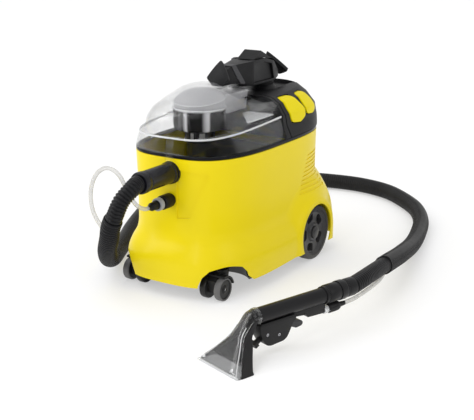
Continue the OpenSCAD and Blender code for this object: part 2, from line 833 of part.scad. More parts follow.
module caster_wheel(side) {
    color(mid_grey)
    translate([caster_x, -caster_axle_y, caster_r]) rotate([0, side * 90, 0])
        translate([0, 0, wheel_gap_x])
            rotate_extrude($fn = 72) polygon([[caster_axle_r + run_fit, 0], [caster_r - 2, 0],
                [caster_r, 2.5], [caster_r, caster_wheel_w - 2.5],
                [caster_r - 2, caster_wheel_w], [caster_r - 4, caster_wheel_w],
                [caster_r - 5, caster_wheel_w - 2], [8, caster_wheel_w - 2],
                [7, caster_wheel_w], [caster_axle_r + run_fit, caster_wheel_w]]);
}
module caster_hood_right() caster_hood();
module caster_hood_left() mirror([1, 0, 0]) caster_hood();
module caster_axle_right() caster_axle();
module caster_axle_left() mirror([1, 0, 0]) caster_axle();
module caster_wheel_right_outer() caster_wheel(1);
module caster_wheel_right_inner() caster_wheel(-1);
module caster_wheel_left_outer() mirror([1, 0, 0]) caster_wheel(1);
module caster_wheel_left_inner() mirror([1, 0, 0]) caster_wheel(-1);

// ---- free hoses ----
// A solid tube along a route: each ring stands square to it, turned on from the last ring
function unit(v) = v / norm(v);
function heading(p, k) = unit(p[min(k + 1, len(p) - 1)] - p[max(k - 1, 0)]);
function sides_of(p, k, u) = let (t = heading(p, k), w = unit(u - (u * t) * t))
    k == len(p) - 1 ? [w] : concat([w], sides_of(p, k + 1, w));
module tube_along(p, r, first, last, count = 10) {
    u = sides_of(p, 0, [1, 0, 0.1]);
    loft([for (k = [first:last]) let (v = cross(heading(p, k), u[k]))
        [for (i = [0:count - 1]) p[k] + r * (cos(360 * i / count) * u[k]
            + sin(360 * i / count) * v)]]);
}

// From the cuff on the machine round the back to the hand tool
suction_route = [[8, -305.2, 246], [8, -311, 246], [8, -324, 241], [0, -344, 223], [-12, -352, 192],
    [-24, -349, 171], [-40, -336, 142], [-66, -312, 110], [-105, -264, 72], [-150, -198, 42],
    [-205, -112, 23], [-240, -46, 20], [-274, 16, 20], [-308, 86, 20], [-340, 160, 20],
    [-365, 240, 20], [-374, 325, 20], [-361, 412, 20], [-324, 498, 20], [-266, 566, 20],
    [-190, 612, 20], [-95, 645, 20], [0, 654, 20], [80, 633, 20], [154, 580, 20],
    [212, 520, 20], [256, 444, 20], [290, 345, 20], [309, 276, 24], [323, 218, 31],
    [335, 162, 40], [346, 104, 49], [355, 45, 58], [363, -15, 66], [369, -75, 72],
    [371, -118, 74], [369, -150, 73]];
sheath_first = 5;
sheath_last = 33;
// Small spray hose: from its plug into the sheath, and from the sheath to the tool
spray_start_route = [[6, -276.2, 192], [6, -280, 192], [5, -289, 194], [0, -301, 202], [-9, -309, 221],
    [-17, -315, 243], [-26, -319, 261], [-40, -321, 270], [-56, -321, 270],
    [-72, -321, 261], [-84, -321, 246], [-91, -322, 226], [-91, -324, 205],
    [-82, -330, 187], [-66, -338, 174], [-50, -343, 163]];
spray_end_route = [[361, 0, 44], [364, -18, 43], [368, -48, 44], [371, -82, 46],
    [371, -114, 46], [368, -145, 45], [362.5, -169, 45]];

module hose_cuff() {
    color(black)
    translate([port_x, 0, port_z]) rotate([90, 0, 0])
        rotate_extrude($fn = 72) polygon([[hose_d / 2 - 3, face_y - 4.8],
            [cuff_r, face_y - 4.8], [cuff_r, face_y + 4], [cuff_r + 1.5, face_y + 4],
            [cuff_r + 1.5, face_y + 10], [cuff_r, face_y + 11], [cuff_r, face_y + 78],
            [cuff_r - 1, face_y + 79], [cuff_r - 1, face_y + 82], [cuff_r + 1, face_y + 83],
            [cuff_r + 1, face_y + 96], [cuff_r - 1, face_y + 98],
            [hose_d / 2 - 3, face_y + 98]]);
}
module suction_hose_start() {
    color(black)
    tube_along(suction_route, hose_d / 2, 0, sheath_first);
}
module hose_sheath() {
    color(black)
    tube_along(suction_route, bundle_d / 2, sheath_first, sheath_last);
}
module suction_hose_end() {
    color(black)
    tube_along(suction_route, hose_d / 2, sheath_last, len(suction_route) - 1);
}
plug_r = 8;
module spray_plug() {
    color(black)
    translate([spray_x, 0, spray_z]) rotate([90, 0, 0])
        rotate_extrude($fn = 64) polygon([[0, face_y + 14], [nipple_r, face_y + 14],
            [nipple_r, face_y + 46 + seat], [plug_r, face_y + 46 + seat],
            [plug_r, face_y + 60], [plug_r - 1.5, face_y + 62], [spray_d / 2, face_y + 69],
            [0, face_y + 69]]);
}
module spray_hose_start() {
    color(clear)
    tube_along(spray_start_route, spray_d / 2, 0, len(spray_start_route) - 1, 8);
}
module spray_hose_end() {
    color(clear)
    tube_along(spray_end_route, spray_d / 2, 0, len(spray_end_route) - 1, 8);
}

// ---- hand tool ----
// Its own frame: y runs along the tube from the nozzle's lip, x is across the mouth
tool_at = [270, -444, 0];
tool_turn = 18.6;
neck_s = 85;
tube_end = 235;
collar_r = tube_r + 3;
collar_end = 270;
tool_end = 310;
module on_tool() {
    translate(tool_at) rotate([0, 0, -tool_turn]) children();
}
module tool_round(profile) {
    on_tool() translate([0, 0, tube_z]) rotate([-90, 0, 0])
        rotate_extrude($fn = 72) polygon(profile);
}
module tool_side(w) {
    on_tool() rotate([90, 0, 90]) linear_extrude(w, center = true) children();
}

module tool_tube() {
    color(black)
    tool_round([[tube_r - 5, neck_s - 6], [tube_r - 3, neck_s - 6],
        [tube_r - 3, neck_s + seat], [tube_r, neck_s + seat], [tube_r, tube_end],
        [tube_r + 2, tube_end], [tube_r + 2, tube_end + 6], [collar_r, tube_end + 7],
        [collar_r, collar_end], [tube_r - 5, collar_end]]);
}
module tool_cuff() {
    color(black)
    tool_round([[tube_r - 3, collar_end + seat], [collar_r + 1, collar_end + seat],
        [collar_r + 1, collar_end + 14], [collar_r, collar_end + 15],
        [collar_r, tool_end - 2], [collar_r - 1, tool_end], [tube_r - 3, tool_end]]);
}

// Nozzle rings from the mouth up round the elbow: y, z, half width, half depth, lean
nozzle_wall = 2.4;
nozzle_form = [[20, 0.3, mouth_w / 2, 20, 0, 7], [21, 6, mouth_w / 2 - 3, 19, 0, 7],
    [43, 34, 27, 15.5, 0, 6], [53, 48, 16, 13.5, 12, 4.5], [64, 60, tube_r, 13.5, 40, 3],
    [71, 70, tube_r, tube_r, 70, 2.4], [78, tube_z, tube_r, tube_r, 90, 2],
    [neck_s, tube_z, tube_r, tube_r, 90, 2]];
nozzle_count = 40;
function nozzle_ring(f, inset, along = 0) = let (a = f[4])
    [for (q = plan(f[2] - inset, f[3] - inset, f[3] - inset, f[5], nozzle_count))
        [q[0], f[0] + q[1] * cos(a) + along * sin(a),
         f[1] - q[1] * sin(a) + along * cos(a)]];
function nozzle_rings(inset) = [for (f = nozzle_form) nozzle_ring(f, inset)];
module nozzle_shell() {
    difference() {
        loft(nozzle_rings(0));
        loft(concat([nozzle_ring(nozzle_form[0], nozzle_wall, -2)], nozzle_rings(nozzle_wall),
            [nozzle_ring(nozzle_form[len(nozzle_form) - 1], nozzle_wall, 2)]));
    }
}
// Region in front of the joint between window and back
module window_side(shift = 0) {
    translate([0, shift, -shift]) rotate([90, 0, 90])
        linear_extrude(2 * mouth_w, center = true)
            polygon([[7, -5], [9, 4], [34, 34], [46, 49], [57, 61], [68, 71], [77, tube_z],
                [neck_s + 9, tube_z], [neck_s + 9, 120], [-40, 120], [-40, -5]]);
}
module nozzle_window() {
    color(clear)
    on_tool() intersection() {
        nozzle_shell();
        window_side();
    }
}
module nozzle_back() {
    color(dark_grey)
    on_tool() difference() {
        nozzle_shell();
        window_side(seat);
    }
}

valve_hw = 12;
trigger_at = [151, 44];
trigger_hw = 8;
module valve_body() {
    color(black)
    difference() {
        tool_side(2 * valve_hw) polygon([[83, 60], [164, 60], [163, 51], [156, 47], [150, 34],
            [143, 23], [136, 19], [106, 17], [97, 20], [90, 30], [84, 44]]);
        tool_round([[0, 60], [tube_r + seat, 60], [tube_r + seat, 200], [0, 200]]);
        // slot for the trigger
        tool_side(2 * trigger_hw + 2 * gap) polygon([[trigger_at[0] - 9, trigger_at[1] + 7],
            [trigger_at[0] - 9, 20], [180, 20], [180, trigger_at[1] + 7]]);
        tool_side(2 * valve_hw + 10) translate(trigger_at)
            circle(r = pin_r + run_fit, $fn = 48);
        // screw holes
        for (p = screw_at) tool_side(2 * valve_hw + 10) translate(p)
            circle(r = 3.2, $fn = 32);
    }
}
screw_at = [[100, 38], [126, 32]];
module tool_screws() {
    color(steel)
    for (p = screw_at) tool_side(2 * valve_hw - 1) translate(p) circle(r = 3, $fn = 32);
}
module trigger() {
    color(black)
    difference() {
        union() {
            tool_side(2 * trigger_hw) translate(trigger_at) circle(r = 6, $fn = 48);
            tool_side(2 * trigger_hw) polygon([[trigger_at[0], trigger_at[1] + 5], [161, 46],
                [181, 42], [184, 38], [181, 33], [168, 32], [trigger_at[0] + 4, 38]]);
        }
        tool_side(2 * valve_hw) translate(trigger_at) circle(r = pin_r + run_fit, $fn = 48);
    }
}
module trigger_pin() {
    color(steel)
    tool_side(2 * valve_hw - 1) translate(trigger_at) circle(r = pin_r, $fn = 48);
}
pipe_r = 3.5;
coupling_z = 45;
module spray_pipe() {
    color(black)
    on_tool() translate([0, 158, 54]) rotate([-96.5, 0, 0])
        cylinder(r = pipe_r, h = 80, $fn = 48);
}
module spray_jet() {
    color(black)
    on_tool() translate([0, 92, 30]) rotate([119, 0, 0]) {
        translate([0, 0, 1]) cylinder(r = 5, h = 10, $fn = 48);
        translate([-7, -4, 10]) cube([14, 8, 8]);
    }
}
module spray_coupling() {
    color(black)
    on_tool() translate([0, 0, coupling_z]) rotate([-90, 0, 0])
        rotate_extrude($fn = 64) polygon([[0, 238], [7, 238], [7, 247], [9, 249],
            [9, 272], [7.5, 275], [5, 276], [spray_d / 2, 290], [0, 290]]);
}

housing();
rim_band();
base_plate();
chassis();
tank();
tank_divider();
lid();
float_chamber();
float_cage();
float();
lid_catches();
handle_bracket();
handle();
nozzle_cradle();
hook_post();
cable_hook();
control_head();
switch_suction();
switch_spray();
switch_pins();
cable_gland();
vacuum_motor();
spray_pump();
suction_port();
spray_socket();
coupling_sleeve();
rear_axle();
rear_wheel_right();
rear_wheel_left();
hub_caps();
caster_hood_right();
caster_hood_left();
caster_axle_right();
caster_axle_left();
caster_wheel_right_outer();
caster_wheel_right_inner();
caster_wheel_left_outer();
caster_wheel_left_inner();
hose_cuff();
suction_hose_start();
hose_sheath();
suction_hose_end();
spray_plug();
spray_hose_start();
spray_hose_end();
tool_cuff();
tool_tube();
nozzle_window();
nozzle_back();
spray_jet();
valve_body();
trigger();
trigger_pin();
spray_pipe();
spray_coupling();
tool_screws();
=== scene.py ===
import math

import bpy
import numpy as np
from mathutils import Matrix, Vector


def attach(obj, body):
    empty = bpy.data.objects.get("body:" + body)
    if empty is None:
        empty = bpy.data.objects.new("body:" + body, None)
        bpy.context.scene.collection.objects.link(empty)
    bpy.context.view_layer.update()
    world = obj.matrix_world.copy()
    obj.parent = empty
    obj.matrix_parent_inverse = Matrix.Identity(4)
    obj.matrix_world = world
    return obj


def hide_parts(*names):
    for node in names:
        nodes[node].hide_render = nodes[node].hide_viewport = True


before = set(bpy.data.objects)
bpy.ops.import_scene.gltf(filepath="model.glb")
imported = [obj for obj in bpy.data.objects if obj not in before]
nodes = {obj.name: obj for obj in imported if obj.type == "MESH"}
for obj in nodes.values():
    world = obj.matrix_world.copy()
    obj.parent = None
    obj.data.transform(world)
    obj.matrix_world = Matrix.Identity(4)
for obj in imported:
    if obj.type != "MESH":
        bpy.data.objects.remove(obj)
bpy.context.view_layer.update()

MM = 0.001


# ---- Studio ----
# A low three-quarter view from the front right, on a pale floor that runs out of sight,
# under one large soft window light, a weaker fill and a white room.
def new_object(name, data):
    """A new object, linked to the scene"""
    thing = bpy.data.objects.new(name, data)
    bpy.context.scene.collection.objects.link(thing)
    return thing


def aimed(direction):
    """The turn that points a lamp or a camera along a direction"""
    return Vector(direction).to_track_quat("-Z", "Y").to_euler()


def soft_light(name, place, aim, size, watts):
    lamp = bpy.data.lights.new(name, "AREA")
    lamp.shape, lamp.size, lamp.size_y, lamp.energy = "RECTANGLE", *size, watts
    stand = new_object(name, lamp)
    stand.location = place
    stand.rotation_euler = aimed(Vector(aim) - Vector(place))


turned, tipped = math.radians(32.6), math.radians(16.8)
line_of_sight = Vector((-math.sin(turned) * math.cos(tipped),
                        math.cos(turned) * math.cos(tipped), -math.sin(tipped)))
camera = new_object("studio_camera", bpy.data.cameras.new("studio_camera"))
camera.location = (1.1037, -1.6862, 0.7259)
camera.rotation_euler = aimed(line_of_sight)
camera.data.sensor_width, camera.data.lens = 36, 75.95
bpy.context.scene.camera = camera
bpy.context.scene.view_settings.view_transform = "Standard"

window_light = new_object("window_light", bpy.data.lights.new("window_light", "SUN"))
window_light.data.energy, window_light.data.angle = 1.05, math.radians(62)
window_light.rotation_euler = aimed((1.1, 1.3, -2.3))
soft_light("side_light", (2.4, -0.3, 1.5), (0, 0, 0.2), (1.0, 1.6), 6)
soft_light("strip_light", (-1.5, -1.5, 0.9), (0, 0, 0.3), (0.25, 1.6), 7)
soft_light("edge_light", (0.2, -2.2, 1.2), (0, 0, 0.3), (0.2, 1.4), 5)
room = bpy.data.worlds.new("white_room")
room.use_nodes = True
sky = room.node_tree.nodes["Background"].inputs
sky["Color"].default_value, sky["Strength"].default_value = (1, 1, 1, 1), 0.76
bpy.context.scene.world = room

bpy.ops.mesh.primitive_plane_add(size=60, location=(0, 0, 0))
studio_floor = bpy.context.object
studio_floor.name = "studio_floor"
floor_paint = bpy.data.materials.new("pale_floor")
floor_paint.use_nodes = True
floor_look = floor_paint.node_tree.nodes["Principled BSDF"].inputs
for setting, value in (("Base Color", (.55, .55, .55, 1)), ("Emission Color", (1, 1, 1, 1)),
                       ("Emission Strength", .44), ("Roughness", .8), ("Specular IOR Level", .1)):
    floor_look[setting].default_value = value
studio_floor.data.materials.append(floor_paint)


# ---- Suction hose ----
# A corrugated rubber hose, 32 mm over its ribs, runs from the cuff on the machine round
# the back to the hand tool. It lies in one loose loop on the floor and rises at both ends.
def add_node(tree, kind, inputs=(), **settings):
    """A shader node: each input takes a value, or a link from another node's output"""
    node = tree.nodes.new("ShaderNode" + kind)
    for setting, value in settings.items():
        setattr(node, setting, value)
    for label, value in dict(inputs).items():
        if isinstance(value, bpy.types.NodeSocket):
            tree.links.new(value, node.inputs[label])
        else:
            node.inputs[label].default_value = value
    return node


def moulded_skin_group():
    """Grained plastic: uneven colour, fine grain, and dust that settles near the floor"""
    group = bpy.data.node_groups.new("moulded_skin", "ShaderNodeTree")
    takes = {"Colour": "Color", "Unevenness": "Float", "Gloss": "Float", "Grain Scale": "Float",
             "Grain Height": "Float", "Dust": "Float"}
    gives = {"Colour": "Color", "Roughness": "Float", "Normal": "Vector"}
    for way, sockets in (("INPUT", takes), ("OUTPUT", gives)):
        for label, kind in sockets.items():
            group.interface.new_socket(label, in_out=way, socket_type="NodeSocket" + kind)
    taken = group.nodes.new("NodeGroupInput").outputs
    given = group.nodes.new("NodeGroupOutput").inputs
    link = group.links.new
    place = add_node(group, "TexCoord").outputs["Object"]
    cloud = add_node(group, "TexNoise", {"Scale": 14, "Detail": 3, "Vector": place})
    centred = add_node(group, "Math", {0: cloud.outputs["Fac"], 1: .5}, operation="SUBTRACT")
    shade = add_node(group, "Math", {0: centred.outputs[0], 1: taken["Unevenness"], 2: 1},
                     operation="MULTIPLY_ADD")
    tinted = add_node(group, "VectorMath", {0: taken["Colour"], "Scale": shade.outputs[0]},
                      operation="SCALE")
    # dust: more of it low down, in soft patches
    height = add_node(group, "SeparateXYZ", {0: place})
    low = add_node(group, "MapRange",
                   {"From Min": .12, "From Max": 0, "Value": height.outputs["Z"]})
    patch = add_node(group, "Math", {0: low.outputs[0], 1: cloud.outputs["Fac"]},
                     operation="MULTIPLY")
    amount = add_node(group, "Math", {0: patch.outputs[0], 1: taken["Dust"]},
                      operation="MULTIPLY")
    dusty = add_node(group, "Mix", {"B": (.42, .40, .36, 1), "Factor": amount.outputs[0],
                                    "A": tinted.outputs[0]}, data_type="RGBA")
    link(dusty.outputs["Result"], given["Colour"])
    smear = add_node(group, "TexNoise", {"Scale": 55, "Detail": 2, "Vector": place})
    off = add_node(group, "Math", {0: smear.outputs["Fac"], 1: .5}, operation="SUBTRACT")
    spread = add_node(group, "Math", {0: off.outputs[0], 1: .12, 2: taken["Gloss"]},
                      operation="MULTIPLY_ADD")
    link(spread.outputs[0], given["Roughness"])
    grain = add_node(group, "TexNoise",
                     {"Detail": 1, "Vector": place, "Scale": taken["Grain Scale"]})
    bump = add_node(group, "Bump", {"Distance": .0002, "Strength": taken["Grain Height"],
                                    "Height": grain.outputs["Fac"]})
    link(bump.outputs[0], given["Normal"])
    return group


moulded_skin = moulded_skin_group()


def moulded(name, colour, unevenness=.08, gloss=.4, grain=900, height=.25, dust=.25, **plain):
    """A material of grained plastic, rubber or metal"""
    material = bpy.data.materials.new(name)
    material.use_nodes = True
    tree = material.node_tree
    skin = add_node(tree, "Group", node_tree=moulded_skin)
    for label, value in (("Colour", (*colour, 1)), ("Unevenness", unevenness), ("Gloss", gloss),
                         ("Grain Scale", grain), ("Grain Height", height), ("Dust", dust)):
        skin.inputs[label].default_value = value
    shader = tree.nodes["Principled BSDF"]
    for label, target in (("Colour", "Base Color"), ("Roughness", "Roughness"),
                          ("Normal", "Normal")):
        tree.links.new(skin.outputs[label], shader.inputs[target])
    shader.inputs["Specular IOR Level"].default_value = .3
    for label, value in plain.items():
        shader.inputs[label.replace("_", " ")].default_value = value
    return material


def mesh_object(name, points, edges, faces):
    """A new piece from points in millimetres"""
    mesh = bpy.data.meshes.new(name)
    mesh.from_pydata([tuple(p) for p in np.asarray(points) * MM], edges, faces)
    return new_object(name, mesh)


def dressed(piece, material, slot, body, *stands_for):
    """Gives a piece material and body, smooths it and hides the nodes it stands for; the slot is
    not used
    """
    piece.data.materials.clear()
    piece.data.materials.append(material)
    alone(piece)
    bpy.ops.object.shade_smooth_by_angle(angle=math.radians(32))
    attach(piece, body)
    if stands_for:
        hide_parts(*stands_for)
    return piece


def alone(piece):
    """Leaves only this piece selected and active"""
    if bpy.context.object and bpy.context.object.mode != "OBJECT":
        bpy.ops.object.mode_set(mode="OBJECT")
    bpy.ops.object.select_all(action="DESELECT")
    piece.select_set(True)
    bpy.context.view_layer.objects.active = piece


def hermite(t, span, start, stop, slope_in, slope_out):
    """A cubic from start to stop over a span, at shares t of it"""
    return ((2 * t ** 3 - 3 * t ** 2 + 1) * start + (t ** 3 - 2 * t ** 2 + t) * span * slope_in
            + (3 * t ** 2 - 2 * t ** 3) * stop + (t ** 3 - t ** 2) * span * slope_out)


def smooth_line(route, step):
    """Even points, in millimetres, on one smooth curve through a route"""
    p = np.array(route, float)
    reach = np.r_[0, np.cumsum(np.linalg.norm(np.diff(p, axis=0), axis=1))]
    slope = np.gradient(p, reach, axis=0)
    dense = []
    for k in range(len(p) - 1):
        span = reach[k + 1] - reach[k]
        t = np.linspace(0, 1, 24, endpoint=False)[:, None]
        dense.append(hermite(t, span, p[k], p[k + 1], slope[k], slope[k + 1]))
    dense = np.vstack(dense + [p[-1:]])
    along = np.r_[0, np.cumsum(np.linalg.norm(np.diff(dense, axis=0), axis=1))]
    even = np.linspace(0, along[-1], max(2, round(along[-1] / step) + 1))
    return np.column_stack([np.interp(even, along, dense[:, i]) for i in range(3)])


def frames_along(line, first_side):
    """Side and lift at each point of a line, carried along it without twist"""
    heading = np.gradient(line, axis=0)
    heading /= np.linalg.norm(heading, axis=1)[:, None]
    side = np.zeros_like(line)
    s = np.array(first_side, float)
    for k, h in enumerate(heading):
        s = s - (s @ h) * h
        s /= np.linalg.norm(s)
        side[k] = s
    return side, np.cross(heading, side)


def sleeve_mesh(name, line, first_side, around, radius, material, slot, body, *stands_for):
    """A tube along a line: its radius is one number, or a function of turn and ring number"""
    side, lift = frames_along(line, first_side)
    turn = np.linspace(0, 2 * math.pi, around, endpoint=False)
    rows = len(line)
    radii = (radius(turn[None, :], np.arange(rows)[:, None]) if callable(radius)
             else np.full((rows, around), float(radius)))
    points = (line[:, None] + radii[..., None] * (np.cos(turn)[None, :, None] * side[:, None]
              + np.sin(turn)[None, :, None] * lift[:, None])).reshape(-1, 3)
    faces = [(k * around + i, k * around + (i + 1) % around,
              (k + 1) * around + (i + 1) % around, (k + 1) * around + i)
             for k in range(rows - 1) for i in range(around)]
    faces += [tuple(reversed(range(around))), tuple(range((rows - 1) * around, rows * around))]
    tube = mesh_object(name, points, [], faces)
    tube.data.validate()
    tube.data.update()
    return dressed(tube, material, slot, body, *stands_for)


hose_route = [
    (8, -305.2, 246), (8, -311, 246), (8, -324, 241), (0, -344, 223), (-12, -352, 192),
    (-24, -349, 171), (-40, -336, 142), (-66, -312, 110), (-105, -264, 72),
    (-150, -198, 42), (-205, -112, 23),
    (-240, -46, 20), (-274, 16, 20), (-308, 86, 20), (-340, 160, 20), (-365, 240, 20),
    (-374, 325, 20), (-361, 412, 20), (-324, 498, 20), (-266, 566, 20), (-190, 612, 20),
    (-95, 645, 20), (0, 654, 20), (80, 633, 20), (154, 580, 20), (212, 520, 20),
    (256, 444, 20), (290, 345, 20), (309, 276, 24), (323, 218, 31), (335, 162, 40),
    (346, 104, 49), (355, 45, 58), (363, -15, 66), (369, -75, 72), (371, -118, 74),
    (369, -150, 73)]
hose_rubber = moulded("hose_rubber", (.006, .006, .007), .25, .32, 500, .2, .02,
                      Specular_IOR_Level=.2)
rib_pitch = 6
hose_line = smooth_line(hose_route, rib_pitch / 3)
hose_ribs = np.array([14.2, 16, 16])
suction_hose = sleeve_mesh(
    "suction_hose", hose_line, (-.8, -.6, 0), 24,
    lambda turn, ring: hose_ribs[ring % 3] + 0 * turn, hose_rubber, "black_hose", "machine",
    "suction_hose_start", "suction_hose_end")


# ---- Hose sleeve ----
# A thin black sleeve is drawn over the hose and the small spray hose, so that they lie
# together: the ribs show through on one side, and the spray hose makes a smooth ridge.
sleeve_rubber = moulded("sleeve_rubber", (.007, .007, .008), .2, .42, 380, .25, .05,
                        Specular_IOR_Level=.15)
sleeve_start, sleeve_end = 45, len(hose_line) - 76
sleeve_line = hose_line[sleeve_start:sleeve_end]
sleeve_size, ridge_height, ridge_spread = 17.9, 2.2, .18


def sleeve_radius(turn, ring):
    """Rings show through all round, apart from one smooth ridge over the small hose"""
    ridge = (np.exp(-turn ** 2 / ridge_spread)
             + np.exp(-(turn - 2 * math.pi) ** 2 / ridge_spread))
    ribs = np.array([-.9, .5, .5])[ring % 3] * (1 - np.clip(1.6 * ridge, 0, 1))
    return sleeve_size + ribs + ridge_height * ridge


hose_side, _ = frames_along(hose_line, (-.8, -.6, 0))
hose_sleeve = sleeve_mesh("hose_sleeve", sleeve_line, hose_side[sleeve_start], 32,
                          sleeve_radius, sleeve_rubber, "black_hose", "machine",
                          "hose_sheath")


# ---- Spray hoses ----
# A clear tube, 8 mm across, loops from the plug on the machine into the sleeve. It comes
# out again near the hand tool and ends in the coupling under its tube.
def clear_plastic(name, tint, seen_through=.6, gloss=.05, ior=1.46, at_edge=.9, clarity=1,
                  **plain):
    """Clear moulded plastic, part see-through and part glossy, with faint smears"""
    material = moulded(name, tint, .02, gloss, 60, .02, .02, **plain)
    tree = material.node_tree
    shader = tree.nodes["Principled BSDF"]
    shader.inputs["IOR"].default_value = ior
    shader.inputs["Transmission Weight"].default_value = clarity
    glance = add_node(tree, "LayerWeight", {"Blend": .35})
    body = add_node(tree, "MapRange", {"To Min": 1 - seen_through, "To Max": at_edge,
                                       "Value": glance.outputs["Facing"]})
    tree.links.new(body.outputs[0], shader.inputs["Alpha"])
    return material


clear_tube = clear_plastic("clear_tube", (.66, .65, .62), .60, .16, 1.3, .95, .25)
for name, route, node, start in (
        ("spray_hose_front", [
            (6, -276.2, 192), (6, -280, 192), (5, -289, 194), (0, -301, 202), (-9, -309, 221),
            (-17, -315, 243), (-26, -319, 261), (-40, -321, 270), (-56, -321, 270),
            (-72, -321, 261), (-84, -321, 246), (-91, -322, 226), (-91, -324, 205),
            (-82, -330, 187), (-66, -338, 174), (-50, -343, 163)],
         "spray_hose_start", (.006, -.2762, .192)),
        ("spray_hose_tool", [
            (361, 0, 44), (364, -18, 43), (368, -48, 44), (371, -82, 46), (371, -114, 46),
            (368, -145, 45), (362.5, -169, 45)],
         "spray_hose_end", (.361, 0, .044))):
    line = smooth_line(route, 3)
    tube = sleeve_mesh(name, line, (1, 0, 0), 20, 4, clear_tube, "clear_hose", "machine", node)


# ---- Housing ----
# One deep injection-moulded shell in yellow plastic. It flares into a skirt at the floor
# and swells over the rear wheels, with arches for wheels and casters and louvred vents.
def formed_sheet(name, across, up, place):
    """A grid bent to a shape: place(u, v) takes rows of 0..1 and gives millimetres"""
    bpy.ops.object.select_all(action="DESELECT")
    bpy.ops.mesh.primitive_grid_add(x_subdivisions=across, y_subdivisions=up, size=1)
    sheet = bpy.context.object
    sheet.name = name
    grid = np.zeros(len(sheet.data.vertices) * 3)
    sheet.data.vertices.foreach_get("co", grid)
    grid = grid.reshape(-1, 3) + .5
    sheet.data.vertices.foreach_set("co", (place(grid[:, 0], grid[:, 1]) * MM).ravel())
    edit_all(sheet)
    bpy.ops.mesh.remove_doubles(threshold=1e-6)
    bpy.ops.object.mode_set(mode="OBJECT")
    return sheet


def edit_all(piece):
    alone(piece)
    bpy.ops.object.mode_set(mode="EDIT")
    bpy.ops.mesh.select_mode(type="VERT")
    bpy.ops.mesh.select_all(action="SELECT")


def finish_modifier(piece, kind, **settings):
    """Adds a modifier, sets it and applies it"""
    alone(piece)
    modifier = piece.modifiers.new(kind.lower(), kind)
    for key, value in settings.items():
        setattr(modifier, key, value)
    bpy.ops.object.modifier_apply(modifier=modifier.name)
    return piece


def eased_edges(piece, width, segments=3, angle=28):
    """Rounds every edge that turns by more than an angle"""
    return finish_modifier(piece, "BEVEL", width=width * MM, segments=segments,
                           limit_method="ANGLE", angle_limit=math.radians(angle))


def point_outwards(piece):
    edit_all(piece)
    bpy.ops.mesh.normals_make_consistent(inside=False)
    bpy.ops.object.mode_set(mode="OBJECT")
    return piece


def cap_ends(piece):
    """Closes every open edge loop with a face"""
    edit_all(piece)
    bpy.ops.mesh.select_all(action="DESELECT")
    bpy.ops.mesh.select_non_manifold()
    bpy.ops.mesh.edge_face_add()
    return point_outwards(piece)


def carve(piece, *tools, how="DIFFERENCE"):
    """Cuts, joins or crosses a piece with others, which are used up"""
    for tool in tools:
        finish_modifier(piece, "BOOLEAN", operation=how, object=tool, solver="EXACT")
        bpy.data.objects.remove(tool)
    return piece


def joined(*pieces):
    alone(pieces[0])
    for piece in pieces:
        piece.select_set(True)
    bpy.ops.object.join()
    return bpy.context.object


def slab(name, outline, low, high, axis="x"):
    """A flat outline given thickness along an axis, in millimetres"""
    turned_to = {"x": lambda a, b, t: (t, a, b), "y": lambda a, b, t: (a, t, b),
                 "z": lambda a, b, t: (a, b, t)}[axis]
    count = len(outline)
    points = [turned_to(a, b, t) for t in (low, high) for a, b in outline]
    faces = [tuple(range(count)), tuple(range(2 * count - 1, count - 1, -1))]
    faces += [(i, (i + 1) % count, count + (i + 1) % count, count + i) for i in range(count)]
    return point_outwards(mesh_object(name, points, [], faces))


def bar(name, left, right, bottom, top, low, high, axis="x"):
    """A slab with a square-cornered outline"""
    corners = [(left, bottom), (right, bottom), (right, top), (left, top)]
    return slab(name, corners, low, high, axis)


def turned_piece(name, profile, centre, axis="x", steps=96):
    """A profile of (radius, along) spun about an axis through a centre, in millimetres"""
    spun = [{"x": (a, r, 0), "y": (r, a, 0), "z": (r, 0, a)}[axis] for r, a in profile]
    piece = mesh_object(name, np.array(spun) + centre,
                        [(i, i + 1) for i in range(len(spun) - 1)], [])
    edit_all(piece)
    bpy.ops.mesh.spin(steps=steps, angle=2 * math.pi, center=tuple(np.array(centre) * MM),
                      axis={"x": (1, 0, 0), "y": (0, 1, 0), "z": (0, 0, 1)}[axis])
    bpy.ops.mesh.select_all(action="SELECT")
    bpy.ops.mesh.remove_doubles(threshold=1e-6)
    bpy.ops.object.mode_set(mode="OBJECT")
    return point_outwards(piece)


def mirrored_copy(piece, name):
    """The same piece on the other side of the machine"""
    twin = piece.copy()
    twin.data = piece.data.copy()
    twin.name = name
    bpy.context.scene.collection.objects.link(twin)
    twin.data.transform(Matrix.Scale(-1, 4, (1, 0, 0)))
    return point_outwards(twin)


def oblong(turn, half_width, front, rear, square):
    """Rounded plan of the body: x and y at a turn, with a squareness above 2"""
    c, s = np.cos(turn), np.sin(turn)
    return (half_width * np.sign(c) * np.abs(c) ** (2 / square),
            (rear - front) / 2 + (rear + front) / 2 * np.sign(s) * np.abs(s) ** (2 / square))


def even_turns(share, half_width, front, rear, square):
    """Turns that step evenly along the plan's outline"""
    dense = np.linspace(0, 2 * math.pi, 7201)
    x, y = oblong(dense, half_width, front, rear, square)
    along = np.r_[0, np.cumsum(np.hypot(np.diff(x), np.diff(y)))]
    return np.interp(share * along[-1], along, dense)


def eased(table, column, at):
    """A column of a table at a height, on a smooth curve through its rows"""
    x, y = np.asarray(table, float)[:, (0, column)].T
    slope = np.gradient(y, x)
    flat = np.sign(np.diff(y))
    for k in range(1, len(x) - 1):
        if flat[k - 1] * flat[k] <= 0:
            slope[k] = 0
    k = np.clip(np.searchsorted(x, at) - 1, 0, len(x) - 2)
    span = x[k + 1] - x[k]
    t = np.clip((at - x[k]) / span, 0, 1)
    return hermite(t, span, y[k], y[k + 1], slope[k], slope[k + 1])


# height, and how far the wall stands out of the rim's plan
skirt = [(28, 15.5), (52, 17), (76, 15), (94, 9), (108, 2.5), (122, -.5), (140, -1.5),
         (200, -1.5), (274, 0)]
